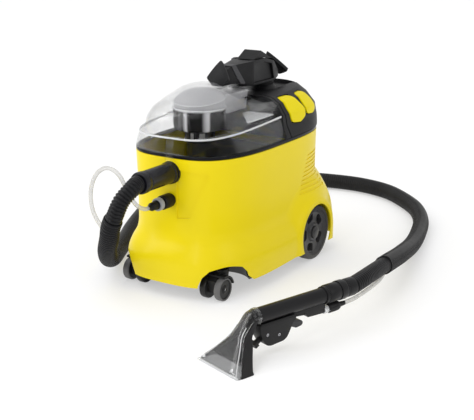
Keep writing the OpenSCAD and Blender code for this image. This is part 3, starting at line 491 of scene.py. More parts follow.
# distance from the rear axle, and how far out the wheel cover's face stands
wheel_cover = [(0, 151), (71, 151), (74, 150.4), (77, 148), (80, 145), (89, 139), (101, 133),
               (112, 128), (126, 116), (150, 92)]
rim_z, axle_y, axle_z, caster_x = 274, 124, 60, 94
axle = (0, axle_y, axle_z)
# half width, front, rear and squareness of the body's plan at the rim
rim_plan = (131, 208, 236, 3.2)


def housing_form(u, v, inset=0):
    z = 28 + v * (rim_z - 28)
    out = eased(skirt, 1, z)
    turn = even_turns(u, *rim_plan)
    x, y = oblong(turn, 131 + out - inset, 208 + 1.3 * out - inset, 236 + .4 * out - inset, 3.2)
    away = np.hypot(y - axle_y, np.maximum(z - axle_z, 0))
    reach, blend, side = wheel_cover[-1][0], 5, np.abs(x)
    cover = np.where(away < reach, eased(wheel_cover, 1, np.clip(away, 0, reach)), 0) - inset
    mix = np.clip(.5 + .5 * (cover - side) / blend, 0, 1)
    pushed = side * (1 - mix) + cover * mix + blend * mix * (1 - mix)
    covered = (away < reach) & (y > 0) & (side > 60)
    x = np.where(covered, np.sign(x) * np.maximum(side, pushed), x)
    return np.column_stack([x, y, z])


yellow_shell = moulded("yellow_shell", (.84, .67, .004), .04, .34, 1400, .10, .03,
                       Coat_Weight=.06, Coat_Roughness=.15, Specular_IOR_Level=.15)
housing = formed_sheet("housing_shell", 256, 64, housing_form)
point_outwards(housing)
finish_modifier(housing, "SOLIDIFY", thickness=3 * MM, offset=-1, use_even_offset=False)

arch = turned_piece("arch", [(0, 77), (63, 77), (63, 160), (0, 160)], axle)
well = turned_piece("well", [(0, -1), (56, -1), (56, 32), (52, 50), (43, 63), (28, 70), (0, 70)],
                    (caster_x, -166, 0), "z", 72)
side_arch = slab("side_arch", [(-174, -1), (-174, 60), (-160, 58), (-142, 50), (-128, 37),
                               (-116, 28), (-112, -1)], 94, 300)
cuts = [arch, mirrored_copy(arch, "arch_left"), well, mirrored_copy(well, "well_left"),
        side_arch, mirrored_copy(side_arch, "side_arch_left")]
for x, z, r in ((8, 246, 22.2), (6, 192, 12.2)):
    cuts.append(turned_piece("socket_hole", [(0, -260), (r, -260), (r, -150), (0, -150)],
                             (x, 0, z), "y", 64))
carve(housing, *cuts)

# louvred vents and the pressed field beside the sockets are only skin deep
louvres = []
for row in range(10):
    front, low = 76 + 4.6 * row, 152 + 8.4 * row
    louvre = slab("louvre", [(front, low), (186, low), (186, low + 4), (front + 2, low + 4)],
                  81, 300)
    louvres += [louvre, mirrored_copy(louvre, "louvre_left")]
field = slab("field", [(22, 254), (84, 246), (48, 160), (20, 156)], -300, -150, "y")
skin_tools = joined(*louvres, field)
core = formed_sheet("core", 256, 64, lambda u, v: housing_form(u, v * 1.04 - .02, 1.7))
carve(skin_tools, cap_ends(core))
carve(housing, skin_tools)
dressed(housing, yellow_shell, "yellow_shell", "machine", "housing")


# ---- Rim band ----
# A glossy black moulded frame sits on the housing's rim and carries the lid.
def rim_form(u, v):
    """A rounded bar swept round the rim"""
    section = 2 * math.pi * v
    inset = 3.5 - 3.4 * np.sign(np.cos(section)) * np.abs(np.cos(section)) ** .5
    z = rim_z + 3.7 + 3.4 * np.sign(np.sin(section)) * np.abs(np.sin(section)) ** .6
    turn = even_turns(u, *rim_plan)
    x, y = oblong(turn, 131 - inset, 208 - inset, 236 - inset, 3.2)
    return np.column_stack([x, y, z])


gloss_black = moulded("gloss_black", (.005, .005, .007), .1, .20, 700, .05, .02,
                      Specular_IOR_Level=.12)
rim_bar = point_outwards(formed_sheet("rim_bar", 200, 17, rim_form))
dressed(rim_bar, gloss_black, "black_plastic", "machine", "rim_band")


# ---- Lid ----
# A deep clear moulded dome, lifted off to empty the tank. A ledge runs round it at
# shoulder height, a duct runs back from its top, and its rear edge leans to the head.

# each row: height, half width, front, rear, rise to the rear, squareness
lid_rows = [
    (281.5, 130, 207, 235, 0, 3.3), (302, 120, 207, 232, .02, 3.6), (322, 112, 206, 229, .05, 3.6),
    (325, 102, 201, 224, .05, 3.6), (345, 100, 200, 220, .02, 3.1), (356, 86, 190, 50, 0, 2.7),
    (364, 77, 178, 12, 0, 2.5), (374, 65, 162, -14, 0, 2.4), (384, 51, 146, -34, 0, 2.3),
    (393, 36, 130, -52, 0, 2.2), (398.8, 19, 112, -66, 0, 2.2), (400, 1, 100, -88, 0, 2.2)]
# the plan that the lid's points are spread along, as rim_plan
lid_plan = (118, 207, 232, 3.6)
# where the joint between lid and head crosses the rim's height, and how far it leans
joint_y, joint_lean = 22, math.radians(14)


def straight(table, column, at):
    """A column of a table at a height, on straight lines through its rows"""
    return np.interp(at, table[:, 0], table[:, column])


def read_rows(rows, at, how):
    """All six columns at a row number, which may lie between two rows"""
    table = np.array([(k, *row) for k, row in enumerate(rows)], float)
    return [how(table, column, at) for column in range(1, 7)]


def row_skin(u, v, plan, values, inset):
    """The skin through the plans, with points spread evenly as along one plan"""
    z, half, front, rear, rise, square = values
    turn = even_turns(u, *plan)
    x, y = oblong(turn, half - inset, front - inset, rear - inset, square)
    return np.column_stack([x, y, z + rise * y - inset * v])


def lid_form(rows, u, v, inset=0):
    """The lid's skin: straight below the shoulder and rounded above it"""
    at = v * (len(rows) - 1)
    soft = np.clip(at - 4, 0, 1)
    values = [a * (1 - soft) + b * soft for a, b in zip(read_rows(rows, at, straight),
                                                        read_rows(rows, at, eased))]
    return row_skin(u, v, lid_plan, values, inset)


def cut_at_joint(piece, back, keep_front=True):
    """Trims a piece at the leaning joint between lid and head and closes the cut"""
    edit_all(piece)
    bpy.ops.mesh.bisect(plane_co=(0, (joint_y + back) * MM, rim_z * MM),
                        plane_no=(0, math.cos(joint_lean), -math.sin(joint_lean)),
                        use_fill=True, clear_outer=keep_front, clear_inner=not keep_front)
    return point_outwards(piece)


def duct_solid(name, inset, rear):
    """Air duct from the float chamber back to the head"""
    outline = [(-70, 332), (-70, 381 - inset), (-30, 375 - inset), (rear, 373 - inset), (rear, 332)]
    return eased_edges(slab(name, outline, -30 + inset, 30 - inset), 7 - inset, 5, 50)


clear_lid = clear_plastic("clear_lid", (.96, .97, .98), .96, .03, 1.49, .30)
lid = cap_ends(formed_sheet("lid_shell", 224, 88, lambda u, v: lid_form(lid_rows, u, v)))
cut_at_joint(lid, -.5)
carve(lid, cut_at_joint(duct_solid("duct_outside", 0, 80), -.5), how="UNION")
inside = cap_ends(formed_sheet("lid_inside", 224, 88, lambda u, v: lid_form(
    [(270, *lid_rows[0][1:]), *lid_rows[1:]], u, v, 3)))
carve(lid, cut_at_joint(inside, -3.5))
carve(lid, cut_at_joint(duct_solid("duct_bore", 3, 90), -3.5))
dressed(lid, clear_lid, "clear_plastic", "lid", "lid")
# whitish, nearly opaque clear plastic: painted highlights on edges and beads, and painted
# reflections
bright_clear = clear_plastic("bright_clear", (.95, .96, .97), .15, .06, 1.5, clarity=.45)
# a thin whitish panel on each side of the ledge, just before the head, is a painted reflection
painted_reflection_panel = slab("lid_painted_reflection", [(36, 4), (96, -74), (97, -60), (97, 24), (38, 24)], 327, 328.6, "z")
cut_at_joint(painted_reflection_panel, -4)
for piece in (painted_reflection_panel, mirrored_copy(painted_reflection_panel, "lid_shelf_left")):
    dressed(piece, bright_clear, "clear_plastic", "lid")
# a thin whitish bead on the rounded outer edge of the ledge paints its highlight all round
ledge_row = 2.05
ledge = lid_form(lid_rows, np.linspace(0, 1, 601), np.full(601, ledge_row / (len(lid_rows) - 1)))
ledge = np.roll(ledge[:-1], -np.argmax(ledge[:-1, 1]), axis=0)
ledge = ledge[ledge[:, 1] < 30] + (0, 0, .2)
sleeve_mesh("ledge_bead", ledge, (0, 0, 1), 10, 1.9, bright_clear, "clear_plastic", "lid")


# ---- Float chamber ----
# A smoked clear cup under the dome holds the float cage, with bright vertical streaks of painted
# reflection in its colour.
# Its frosted cap slopes up to the duct, and a whitish bead, a painted highlight, marks the joint
# between cup and cap.
cup_centre = (0, -97, 0)
smoked_cup = clear_plastic("smoked_cup", (.010, .010, .012), .03, .05, 1.3, 1, .1,
                           Specular_IOR_Level=.05)
# painted reflections: bright vertical streaks round the cup, painted into its base colour
tree = smoked_cup.node_tree
place = add_node(tree, "TexCoord").outputs["Object"]
shift = add_node(tree, "Mapping", {"Location": (0, .097, 0), "Vector": place})
around = add_node(tree, "TexGradient", {"Vector": shift.outputs[0]}, gradient_type="RADIAL")
painted_reflections = add_node(tree, "ValToRGB", {"Fac": around.outputs["Color"]})
# share of a full turn, and how bright the painted reflection of the lights is there: vertical
# streaks painted into the cup's colour
flutes_and_painted_reflections = [(0, .01), (.18, .01), (.21, .10), (.235, .01), (.262, .75), (.275, .01), (.36, .012),
          (.385, .55), (.40, .70), (.415, .02), (.47, .06), (.52, .01), (.60, .22), (.64, .01)]
while len(painted_reflections.color_ramp.elements) < len(flutes_and_painted_reflections):
    painted_reflections.color_ramp.elements.new(.5)
for stop, (share, light) in zip(painted_reflections.color_ramp.elements, flutes_and_painted_reflections):
    stop.position, stop.color = share, (light, light, light * 1.03, 1)
tree.links.new(painted_reflections.outputs["Color"], tree.nodes["Principled BSDF"].inputs["Base Color"])
cup = turned_piece("float_cup", [
    (30.4, 311), (46, 311), (50, 313), (52, 319), (52, 352), (49.5, 352), (49.5, 320),
    (47.5, 315), (45, 314), (30.4, 314), (30.4, 311)], cup_centre, "z")
dressed(cup, smoked_cup, "clear_plastic", "lid", "float_chamber")
frosted = clear_plastic("frosted_cap", (.56, .56, .58), .30, .30, 1.49, clarity=.3)
cap = turned_piece("float_cap", [
    (0, 383), (14, 382.5), (34, 377), (45, 370), (50.5, 363), (50.5, 353.5), (47.5, 353.5),
    (47.5, 362), (43, 367.5), (33, 374), (14, 379.5), (0, 380)], cup_centre, "z")
# above its skirt the cap leans up from its front edge towards the duct
cap_slope, cap_front, cap_skirt, skirt_blend = .12, -147, 354, 8
for corner in cap.data.vertices:
    above = min(max((corner.co.z - cap_skirt * MM) / (skirt_blend * MM), 0), 1)
    corner.co.z += cap_slope * (corner.co.y - cap_front * MM) * above
dressed(cap, frosted, "clear_plastic", "lid")
# a thin whitish ring on the cap's brim is a painted highlight
turn, brim_radius = np.linspace(0, 2 * math.pi, 121), 50.6
brim = np.column_stack([np.cos(turn), np.sin(turn), 0 * turn]) * brim_radius + cup_centre
brim[:, 2] = 363 + cap_slope * (brim[:, 1] - cap_front)
sleeve_mesh("cap_brim", brim, (0, 0, 1), 10, 1.1, bright_clear, "clear_plastic", "lid")
bead = turned_piece("float_bead", [
    (52.1, 351), (53, 351.6), (53.6, 353), (53, 354.2), (52, 354.6), (50.6, 354.6), (50.6, 352.2),
    (52.1, 352.2), (52.1, 351)], cup_centre, "z")
dressed(bead, bright_clear, "clear_plastic", "lid")
# frosted walls of the air duct that runs back from the cap
liner = duct_solid("duct_liner", 4, 60)
carve(liner, duct_solid("duct_core", 6, 70))
cut_at_joint(liner, -5)
dressed(liner, frosted, "clear_plastic", "lid")


# ---- Control head ----
# The black moulded head over the motor closes the rear of the body. It carries the two
# pedal switches on its right shoulder and a flat recess for the handle's bracket.

# rows and plan as for the lid
head_rows = [
    (281.5, 130, 207, 235, 0, 3.4), (304, 118, 208, 235, 0, 4.3), (324, 113, 208, 232, .01, 4.4),
    (345, 96, 208, 225, .02, 4), (354, 77, 208, 219, .04, 3.6), (357, 57, 208, 213, .045, 3.4),
    (357.6, 2, 160, 165, .045, 3.4)]
head_plan = (114, 208, 233, 4.3)
# side outlines, y and z, of the suction and the spray pedal
pedal_sides = [
    [(66, 354), (108, 354), (126, 330), (124, 312), (98, 303), (64, 307), (62, 330)],
    [(131, 353), (164, 355), (180, 338), (180, 318), (162, 311), (133, 313), (131, 330)]]


def head_form(u, v, inset=0):
    values = read_rows(head_rows, v * (len(head_rows) - 1), straight)
    return row_skin(u, v, head_plan, values, inset)


def rounded(outline, grow=0, radius=7, steps=6):
    """An outline pushed out by a distance, with its corners rounded"""
    p = np.array(outline, float)
    centre = p.mean(0)
    count = len(p)
    moved = []
    for k in range(count):
        a, b, c = p[k - 1], p[k], p[(k + 1) % count]
        n1 = np.array([(b - a)[1], -(b - a)[0]]) / np.linalg.norm(b - a)
        n2 = np.array([(c - b)[1], -(c - b)[0]]) / np.linalg.norm(c - b)
        if n1 @ (b - centre) < 0:
            n1, n2 = -n1, -n2
        moved.append(b + grow * (n1 + n2) / (1 + n1 @ n2))
    out = []
    for k in range(count):
        a, b, c = moved[k - 1], moved[k], moved[(k + 1) % count]
        back = min(radius, .45 * np.linalg.norm(a - b), .45 * np.linalg.norm(c - b))
        start = b + (a - b) / np.linalg.norm(a - b) * back
        stop = b + (c - b) / np.linalg.norm(c - b) * back
        for t in np.linspace(0, 1, steps):
            out.append(tuple((1 - t) ** 2 * start + 2 * t * (1 - t) * b + t * t * stop))
    return out


black_grained = moulded("black_grained", (.007, .007, .008), .22, .42, 1100, .30, .05,
                        Specular_IOR_Level=.2)
head = cap_ends(formed_sheet("head_shell", 320, 48, head_form))
cut_at_joint(head, 0, keep_front=False)
core = cap_ends(formed_sheet("head_core", 200, 30, lambda u, v: head_form(u, v, 11)))
pits = [slab(f"pedal_pit_{k}", rounded(pedal_sides[k], 1.7), 72.5, 300) for k in (0, 1)]
pits = carve(joined(*pits), core)
carve(head, pits, bar("bracket_recess", 0, 214.5, 352, 430, -44.5, 44.5))
# a shallow gutter that parts the head's front panel from its switch panel
gutter_core = formed_sheet("gutter_core", 320, 48, lambda u, v: head_form(u, v * 1.02 - .01, 2))
gutter = slab("gutter", [(40, 270), (43, 270), (47, 330), (60, 385), (57, 385), (44, 330)],
              -150, 150)
carve(head, carve(gutter, cap_ends(gutter_core)))
dressed(head, black_grained, "black_plastic", "machine", "control_head")


# ---- Pedal switches ----
# Two yellow foot switches, one for suction and one for the spray pump. Each is a curved
# moulded key that follows the head's shoulder and rocks on a pin inside it.
yellow_key = moulded("yellow_key", (.82, .68, .003), .05, .38, 1200, .2, .02,
                     Specular_IOR_Level=.1)
for k, body in ((0, "switch_suction"), (1, "switch_spray")):
    key = slab(body + "_key", rounded(pedal_sides[k], -.2), 76, 300)
    outer = cap_ends(formed_sheet("key_outside", 320, 40, lambda u, v: head_form(u, v, -2)))
    inner = cap_ends(formed_sheet("key_inside", 320, 40, lambda u, v: head_form(u, v, 3)))
    carve(key, outer, how="INTERSECT")
    carve(key, inner)
    eased_edges(key, 1.2, 3, 60)
    dressed(key, yellow_key, "yellow_shell", body, body)


# ---- Handle ----
# A low carrying handle on a stub neck, moulded in black. Its front end is a barbed horn,
# its back has a cable hook that swivels, and a cradle on top takes the hand nozzle.
def barb(half_width, up, down, power=1.15, count=40):
    """Blade outline, widest at its root line and pointed above and below"""
    turn = np.linspace(0, 2 * math.pi, count, endpoint=False)
    c, s = np.cos(turn), np.sin(turn)
    return list(zip(half_width * np.sign(c) * np.abs(c) ** (2 / power),
                    np.where(s > 0, up, down) * np.sign(s) * np.abs(s) ** (2 / power)))


def tipped_piece(piece, lean, place):
    """Leans a flat piece about x and puts it in its place"""
    piece.data.transform(Matrix.Translation(Vector(place) * MM)
                         @ Matrix.Rotation(math.radians(lean), 4, "X"))
    return piece


handle = slab("handle_bar", [
    (-32, 398), (-14, 416), (6, 422), (60, 425), (110, 426), (146, 416), (162, 402), (172, 393),
    (172, 380), (150, 374), (58, 374), (20, 386), (-28, 384)], -26, 26)
waist = slab("waist", [
    (-9, -32), (-13, 10), (-24, 54), (-26, 64), (-26, 140), (-19, 180), (19, 180), (26, 140),
    (26, 64), (24, 54), (13, 10), (9, -32)], 360, 440, "z")
carve(handle, waist, how="INTERSECT")
pocket = slab("pocket", [(66, 415), (105, 419), (136, 412), (148, 379), (66, 379)], 20, 60)
carve(handle, pocket, mirrored_copy(pocket, "pocket_left"))
ridges = [bar("finger_ridge", 70 + 9 * k, 71.2 + 9 * k, 402, 430, -13, 13) for k in range(6)]
carve(handle, slab("grip_field", [(64, 424.2), (120, 425.2), (120, 440), (64, 440)], -13, 13),
      *ridges)
eased_edges(handle, 1.6)
# a grey band laid 1.3 mm over the front of the handle is a painted sheen: the light that its
# chamfered edges catch
sheen_band = mirrored_copy(handle, "handle_sheen_band")
finish_modifier(sheen_band, "DISPLACE", strength=1.3 * MM, mid_level=0)
carve(sheen_band, slab("sheen_band_field", [(-6, 430), (4, 434), (38, 384), (30, 376)], -40, 40),
      how="INTERSECT")
painted_sheen_grey = moulded("painted_sheen_grey", (.050, .050, .054), .15, .42, 900, .25, .1)
dressed(sheen_band, painted_sheen_grey, "dark_plastic", "lid")
dressed(handle, black_grained, "black_plastic", "lid", "handle")
horn = slab("handle_horn", barb(26, 37, 21), 0, 5, "z")
tipped_piece(horn, 71, (0, -28, 398))
carve(horn, bar("horn_room", -60, 20, 380, 385.2, -40, 40))
eased_edges(horn, 1.0, 2, 50)
dressed(horn, black_grained, "black_plastic", "lid")


# ---- Hose sockets and cuff ----
# The suction cuff is pushed into a collar in the housing's front. Below it a quick coupling
# for the spray hose has a black barrel, a pale locking sleeve and a plug with a stub.
suction_centre, spray_centre = (8, 0, 246), (6, 0, 192)
cuff = turned_piece("hose_cuff_piece", [
    (13, -202.3), (20, -202.3), (20, -211), (20.8, -211.4), (21.4, -212.4), (21.4, -216),
    (20.8, -217.2), (20, -218), (19.8, -262), (19.8, -284.5), (19.2, -285.4), (19, -286.4),
    (19, -288.6), (19.6, -289.6), (20.6, -290.2), (21, -291.2), (21, -301.5), (20.5, -303.4),
    (19, -304.7), (13, -305), (13, -202.3)], suction_centre, "y")
cuff_black = moulded("cuff_black", (.006, .006, .009), .15, .24, 900, .12, .03,
                     Specular_IOR_Level=.3)
dressed(cuff, cuff_black, "black_plastic", "machine", "hose_cuff")
collar = turned_piece("suction_collar", [
    (16, -200), (25, -200), (25, -202.9), (22, -203), (22, -209), (21.4, -209.8), (20.15, -210),
    (20.15, -202.1), (16, -202.1), (16, -200)], suction_centre, "y")
dressed(collar, cuff_black, "black_plastic", "machine", "suction_port")
barrel = turned_piece("spray_barrel", [
    (3, -200.5), (12, -200.5), (12, -209.4), (13.2, -209.6), (14, -210.6), (14, -226),
    (13.6, -226.6), (13.6, -228.4), (14, -229), (14, -233), (13.2, -234.8), (12, -235.6),
    (9, -235.7), (9, -252.6), (8.6, -253), (5.2, -253), (5.2, -219), (3, -219), (3, -200.5)],
    spray_centre, "y", 80)
dressed(barrel, black_grained, "black_plastic", "machine", "spray_socket")
pale_grey = moulded("pale_grey", (.34, .35, .36), .08, .35, 900, .15, .1)
ring = turned_piece("locking_sleeve", [
    (9.1, -240), (11.8, -240), (12.5, -240.7), (12.5, -243), (11.9, -243.6), (12.5, -244.2),
    (12.5, -246), (11.9, -246.6), (12.5, -247.2), (12.5, -249.2), (11.8, -250), (9.1, -250),
    (9.1, -240)], spray_centre, "y", 80)
dressed(ring, pale_grey, "grey_plastic", "sleeve", "coupling_sleeve")
plug = turned_piece("spray_plug_piece", [
    (0, -221), (5, -221), (5, -253.2), (7.6, -253.2), (8, -253.8), (8, -259), (7.5, -259.6),
    (7.5, -261), (8, -261.6), (8, -266.4), (6.9, -268.4), (5.2, -269.6), (4.2, -275.8),
    (0, -276)], spray_centre, "y", 72)
dressed(plug, black_grained, "black_plastic", "machine", "spray_plug")


# ---- Rear wheels ----
# Each has a soft black tyre pressed on a five-window hub of dark plastic, and a push-on
# cap that keeps it on the steel axle.
tyre_rubber = moulded("tyre_rubber", (.010, .010, .011), .25, .55, 700, .35, .3)
hub_plastic = moulded("hub_plastic", (.030, .030, .034), .2, .32, 900, .2, .2)
cap_black = moulded("cap_black", (.018, .018, .02), .1, .3, 900, .1, .2)
tyre = turned_piece("tyre_right", [
    (49, 122), (55, 121.3), (57.5, 122.2), (59.3, 124.6), (60, 128), (60, 129.4), (59.2, 130),
    (59.2, 131.2), (60, 131.8), (60, 136.2), (59.2, 136.8), (59.2, 138), (60, 138.6),
    (60, 140.5), (59.3, 143.6), (57.5, 146), (55, 146.8), (51, 147), (49.4, 146), (49, 144),
    (49, 122)], axle, "x", 120)
hub = turned_piece("hub_right", [
    (6.1, 121.2), (48.9, 121.2), (48.9, 145), (47.6, 145), (46.2, 142.5), (44, 139.5),
    (38, 138.2), (24, 138.2), (21, 139.2), (19, 142), (17.6, 143.2), (6.1, 143.2),
    (6.1, 121.2)], axle, "x", 120)
windows = []
for k in range(5):
    window = slab("window", rounded([(-10, 25), (10, 25), (14, 36), (11, 42), (-11, 42),
                                     (-14, 36)], 0, 4), 128, 160)
    window.data.transform(Matrix.Translation((0, axle_y * MM, axle_z * MM))
                          @ Matrix.Rotation(math.radians(72 * k + 20), 4, "X"))
    windows.append(window)
carve(hub, joined(*windows))
rim_cap = turned_piece("hub_cap_right", [
    (0, 146.7), (6.1, 146.7), (6.1, 143.6), (13, 143.6), (14, 145), (13.4, 146.6),
    (10, 148), (5, 148.5), (0, 148.6)], axle, "x", 72)
for piece, paint, slot, body, stands_for, left_stands_for in (
        (tyre, tyre_rubber, "black_plastic", "wheel_right", ["rear_wheel_right"],
         ["rear_wheel_left"]),
        (hub, hub_plastic, "dark_plastic", "wheel_right", [], []),
        (rim_cap, cap_black, "black_plastic", "machine", ["hub_caps"], [])):
    twin = mirrored_copy(piece, piece.name.replace("right", "left"))
    dressed(piece, paint, slot, body, *stands_for)
    dressed(twin, paint, slot, body.replace("right", "left"), *left_stands_for)


# ---- Casters ----
# Two twin-wheel swivel casters stand under the front of the skirt. Their outer tyres are grey
# and their discs black, on a black moulded hood; the inner tyres take the discs' black as painted
# shade under the hood.
grey_tyre = moulded("grey_tyre", (.085, .085, .09), .15, .5, 700, .3, .3)
disc_black = moulded("disc_black", (.007, .007, .008), .15, .35, 900, .2, .05,
                     Specular_IOR_Level=.25)
caster_axle = (0, -184, 23)
for side, mirror in (("right", 1), ("left", -1)):
    for place, out in (("outer", 1), ("inner", -1)):
        tread = turned_piece(f"caster_tyre_{side}_{place}", [
            (19.6, 9.6), (20.8, 9.6), (22.3, 10.3), (23, 12), (23, 21), (22.5, 22.8), (21.6, 23.4),
            (20.4, 23.4), (19.6, 22.6), (19.6, 9.6)], caster_axle, "x", 72)
        disc = turned_piece(f"caster_disc_{side}_{place}", [
            (3.1, 9.6), (19.5, 9.6), (19.5, 22), (18.8, 22.2), (17.6, 20.8), (9, 20.9),
            (7.8, 21.8), (7, 23), (5.6, 23.6), (3.1, 23.6), (3.1, 9.6)], caster_axle, "x", 72)
        # the inner tread is painted black: painted shade where the hood shades it
        tread_grey_and_painted_shade = grey_tyre if place == "outer" else disc_black
        for piece, paint, slot in ((tread, tread_grey_and_painted_shade, "grey_tyre"),
                                   (disc, disc_black, "black_plastic")):
            piece.data.transform(Matrix.Translation((mirror * caster_x * MM, 0, 0))
                                 @ Matrix.Scale(out * mirror, 4, (1, 0, 0)))
            point_outwards(piece)
            stands = [f"caster_wheel_{side}_{place}"] if piece is tread else []
            dressed(piece, paint, slot, f"caster_wheel_{side}_{place}", *stands)


# ---- Nozzle ----
# The upholstery nozzle is a clear flared window over a black moulded back, so that the
# dirt can be seen on its way up. Its walls are thick, with whitish beads as painted highlights at
# the edges.
tool_frame = (Matrix.Translation(Vector((270, -444, 0)) * MM)
              @ Matrix.Rotation(math.radians(-18.6), 4, "Z"))


def on_tool(piece):
    """Puts a piece made in the tool's own frame in its place"""
    piece.data.transform(tool_frame)
    return piece


# y, z, half width, half depth, lean, squareness of each section from mouth to neck
nozzle_rows = [
    (20, .3, 54, 20, 0, 7), (21, 6, 51, 19, 0, 7), (32, 20, 38.5, 17.2, 0, 6.5),
    (43, 34, 27, 15.5, 0, 6), (53, 48, 16, 13.5, 12, 4.5), (64, 60, 14, 13.5, 40, 3),
    (71, 70, 14, 14, 70, 2.4), (78, 73, 14, 14, 90, 2), (85, 73, 14, 14, 90, 2)]
nozzle_plan = (40, 18, 18, 5)


def nozzle_form(u, v, inset=0, longer=0):
    y, z, half, deep, lean, square = read_rows(nozzle_rows, v * (len(nozzle_rows) - 1), eased)
    turn = even_turns(u, *nozzle_plan)
    a, b = oblong(turn, half - inset, deep - inset, deep - inset, square)
    lean = np.radians(lean)
    past = longer * ((v >= 1).astype(float) - (v <= 0).astype(float))
    return np.column_stack([a, y + b * np.cos(lean) + past * np.sin(lean),
                            z - b * np.sin(lean) + past * np.cos(lean)])


def nozzle_shell(name):
    shell = cap_ends(formed_sheet(name, 96, 56, nozzle_form))
    hollow = cap_ends(formed_sheet(name + "_hollow", 96, 56,
                                   lambda u, v: nozzle_form(u, v, 2.4, 2)))
    return carve(shell, hollow)


tube_centre, coupling_centre = (0, 0, 73), (0, 0, 45)
joint_side = [(7, -5), (9, 4), (34, 34), (46, 49), (57, 61), (68, 71), (77, 73), (94, 73),
              (94, 120), (-40, 120), (-40, -5)]
window = carve(nozzle_shell("nozzle_pane"), slab("front_side", joint_side, -108, 108),
               how="INTERSECT")
eased_edges(window, .5, 2, 40)
thick_clear = clear_plastic("thick_clear", (.19, .195, .20), .42, .07, 1.5)
dressed(on_tool(window), thick_clear, "clear_plastic", "machine", "nozzle_window")
back = carve(nozzle_shell("nozzle_back_shell"),
             slab("behind", [(a + .2, b - .2) for a, b in joint_side], -108, 108))
eased_edges(back, .5, 2, 40)
dressed(on_tool(back), black_grained, "dark_plastic", "machine", "nozzle_back")
# a whitish lip, whitish edges up both sides and two lugs near the lower corners: painted highlights
# in whitish clear
lip = slab("nozzle_lip", rounded([(-54.5, .2), (54.5, .2), (52, 4.4), (-52, 4.4)], 0, 1.6, 4),
           -.5, 2.4, "y")
eased_edges(lip, .7, 2, 40)
dressed(on_tool(lip), bright_clear, "clear_plastic", "machine")
y, z, half, deep, lean, square = read_rows(nozzle_rows, np.linspace(.3, 4.8, 60), eased)
fold, lean = .5 ** (1 / square), np.radians(lean)
for side in (-1, 1):
    line = np.column_stack([side * half * fold, y - deep * fold * np.cos(lean),
                            z + deep * fold * np.sin(lean)])
    edge = sleeve_mesh("nozzle_edge", line, (0, 1, 0), 8, .9, bright_clear, "clear_plastic",
                       "machine")
    lug = turned_piece("nozzle_lug", [(0, 0), (2.6, 0), (2.6, -1.8), (2, -2.4), (0, -2.4)],
                       (side * 37, 2.6, 12), "y", 32)
    for piece in (edge, lug):
        dressed(on_tool(piece), bright_clear, "clear_plastic", "machine")


# ---- Wand tube and cuff ----
# A short black tube joins the nozzle to the hose cuff. Stepped collars lock the two
# together, and a clear bead marks the end of the nozzle's neck.
wand = on_tool(turned_piece("wand_tube", [
    (9, 73), (11, 73), (11, 85.2), (13.6, 85.2), (14, 85.8), (14, 234.6), (15.4, 234.8),
    (16, 235.6), (16, 240.6), (15.5, 241.2), (16.3, 241.8), (17, 243), (17, 268.6),
    (16.4, 269.8), (9, 269.9), (9, 73)], tube_centre, "y"))
wand_black = moulded("wand_black", (.006, .006, .007), .18, .34, 900, .18, .03,
                     Specular_IOR_Level=.2)
dressed(wand, wand_black, "black_plastic", "machine", "tool_tube")
wand_cuff = on_tool(turned_piece("wand_cuff", [
    (11, 270.2), (17.4, 270.2), (18, 271), (18, 283), (17.4, 284.4), (17, 285), (17, 289),
    (16.6, 289.4), (16.6, 290.4), (17, 290.8), (17, 307.4), (16.4, 309.2), (15.2, 310),
    (11, 310), (11, 270.2)], tube_centre, "y"))
dressed(wand_cuff, wand_black, "black_plastic", "machine", "tool_cuff")
neck_bead = on_tool(turned_piece("neck_bead", [
    (14.1, 78), (15.2, 78.4), (15.6, 80), (15.6, 83), (15.2, 84.6), (14.1, 84.9), (14.1, 78)],
    tube_centre, "y"))
dressed(neck_bead, thick_clear, "clear_plastic", "machine")


# ---- Spray valve and trigger ----
# A black valve box hangs under the tube, held shut by two screws. Its trigger rocks on a
# steel pin, a jet faces the nozzle's mouth, and a rigid pipe feeds it from the coupling.
valve = slab("valve_box", rounded([
    (83, 60), (164, 60), (163, 51), (156, 47), (150, 34), (143, 23), (136, 19), (106, 17),
    (97, 20), (90, 30), (84, 44)], 0, 5, 4), -12, 12)
tube_room = turned_piece("tube_room", [(0, 60), (14.2, 60), (14.2, 200), (0, 200)],
                         tube_centre, "y")
slot_room = slab("slot_room", [(142, 51), (142, 20), (180, 20), (180, 51)], -8.5, 8.5)
carve(valve, tube_room, slot_room)
eased_edges(valve, 1.4, 3, 40)
screw_places = ((100, 38), (126, 32))
carve(valve, joined(*[
    turned_piece("screw_well", [(0, 10.8), (3.4, 10.8), (3.4, 20), (0, 20)], (0, y, z), "x", 40)
    for y, z in screw_places]))
carve(valve, bar("valve_seam", 80, 170, 57.2, 58, 11.4, 20))
dressed(on_tool(valve), black_grained, "black_plastic", "machine", "valve_body")
rail = slab("pipe_rail", [(163.5, 62), (163.5, 55), (190, 53), (197, 43), (238, 41), (238, 62)],
            -5.5, 5.5)
carve(rail, turned_piece("rail_room", [(0, 60), (14.1, 60), (14.1, 260), (0, 260)],
                         tube_centre, "y"))
eased_edges(rail, 1, 2, 40)
dressed(on_tool(rail), black_grained, "black_plastic", "machine")
dark_steel = moulded("dark_steel", (.42, .42, .44), .1, .28, 1500, .1, .1, Metallic=1)
screws = []
for y, z in screw_places:
    screw = turned_piece("valve_screw", [(0, 11.9), (1.2, 11.9), (1.3, 11.6), (2.6, 11.5),
                                         (3, 11.2), (3, -11), (0, -11), (0, 11.9)],
                         (0, y, z), "x", 40)
    screws.append(carve(screw, bar("drive_a", y - 1.8, y + 1.8, z - .35, z + .35, 10.9, 13),
                        bar("drive_b", y - .35, y + .35, z - 1.8, z + 1.8, 10.8, 13.1)))
screws = on_tool(joined(*screws))
screws.name = "valve_screws"
dressed(screws, dark_steel, "steel", "machine", "tool_screws")
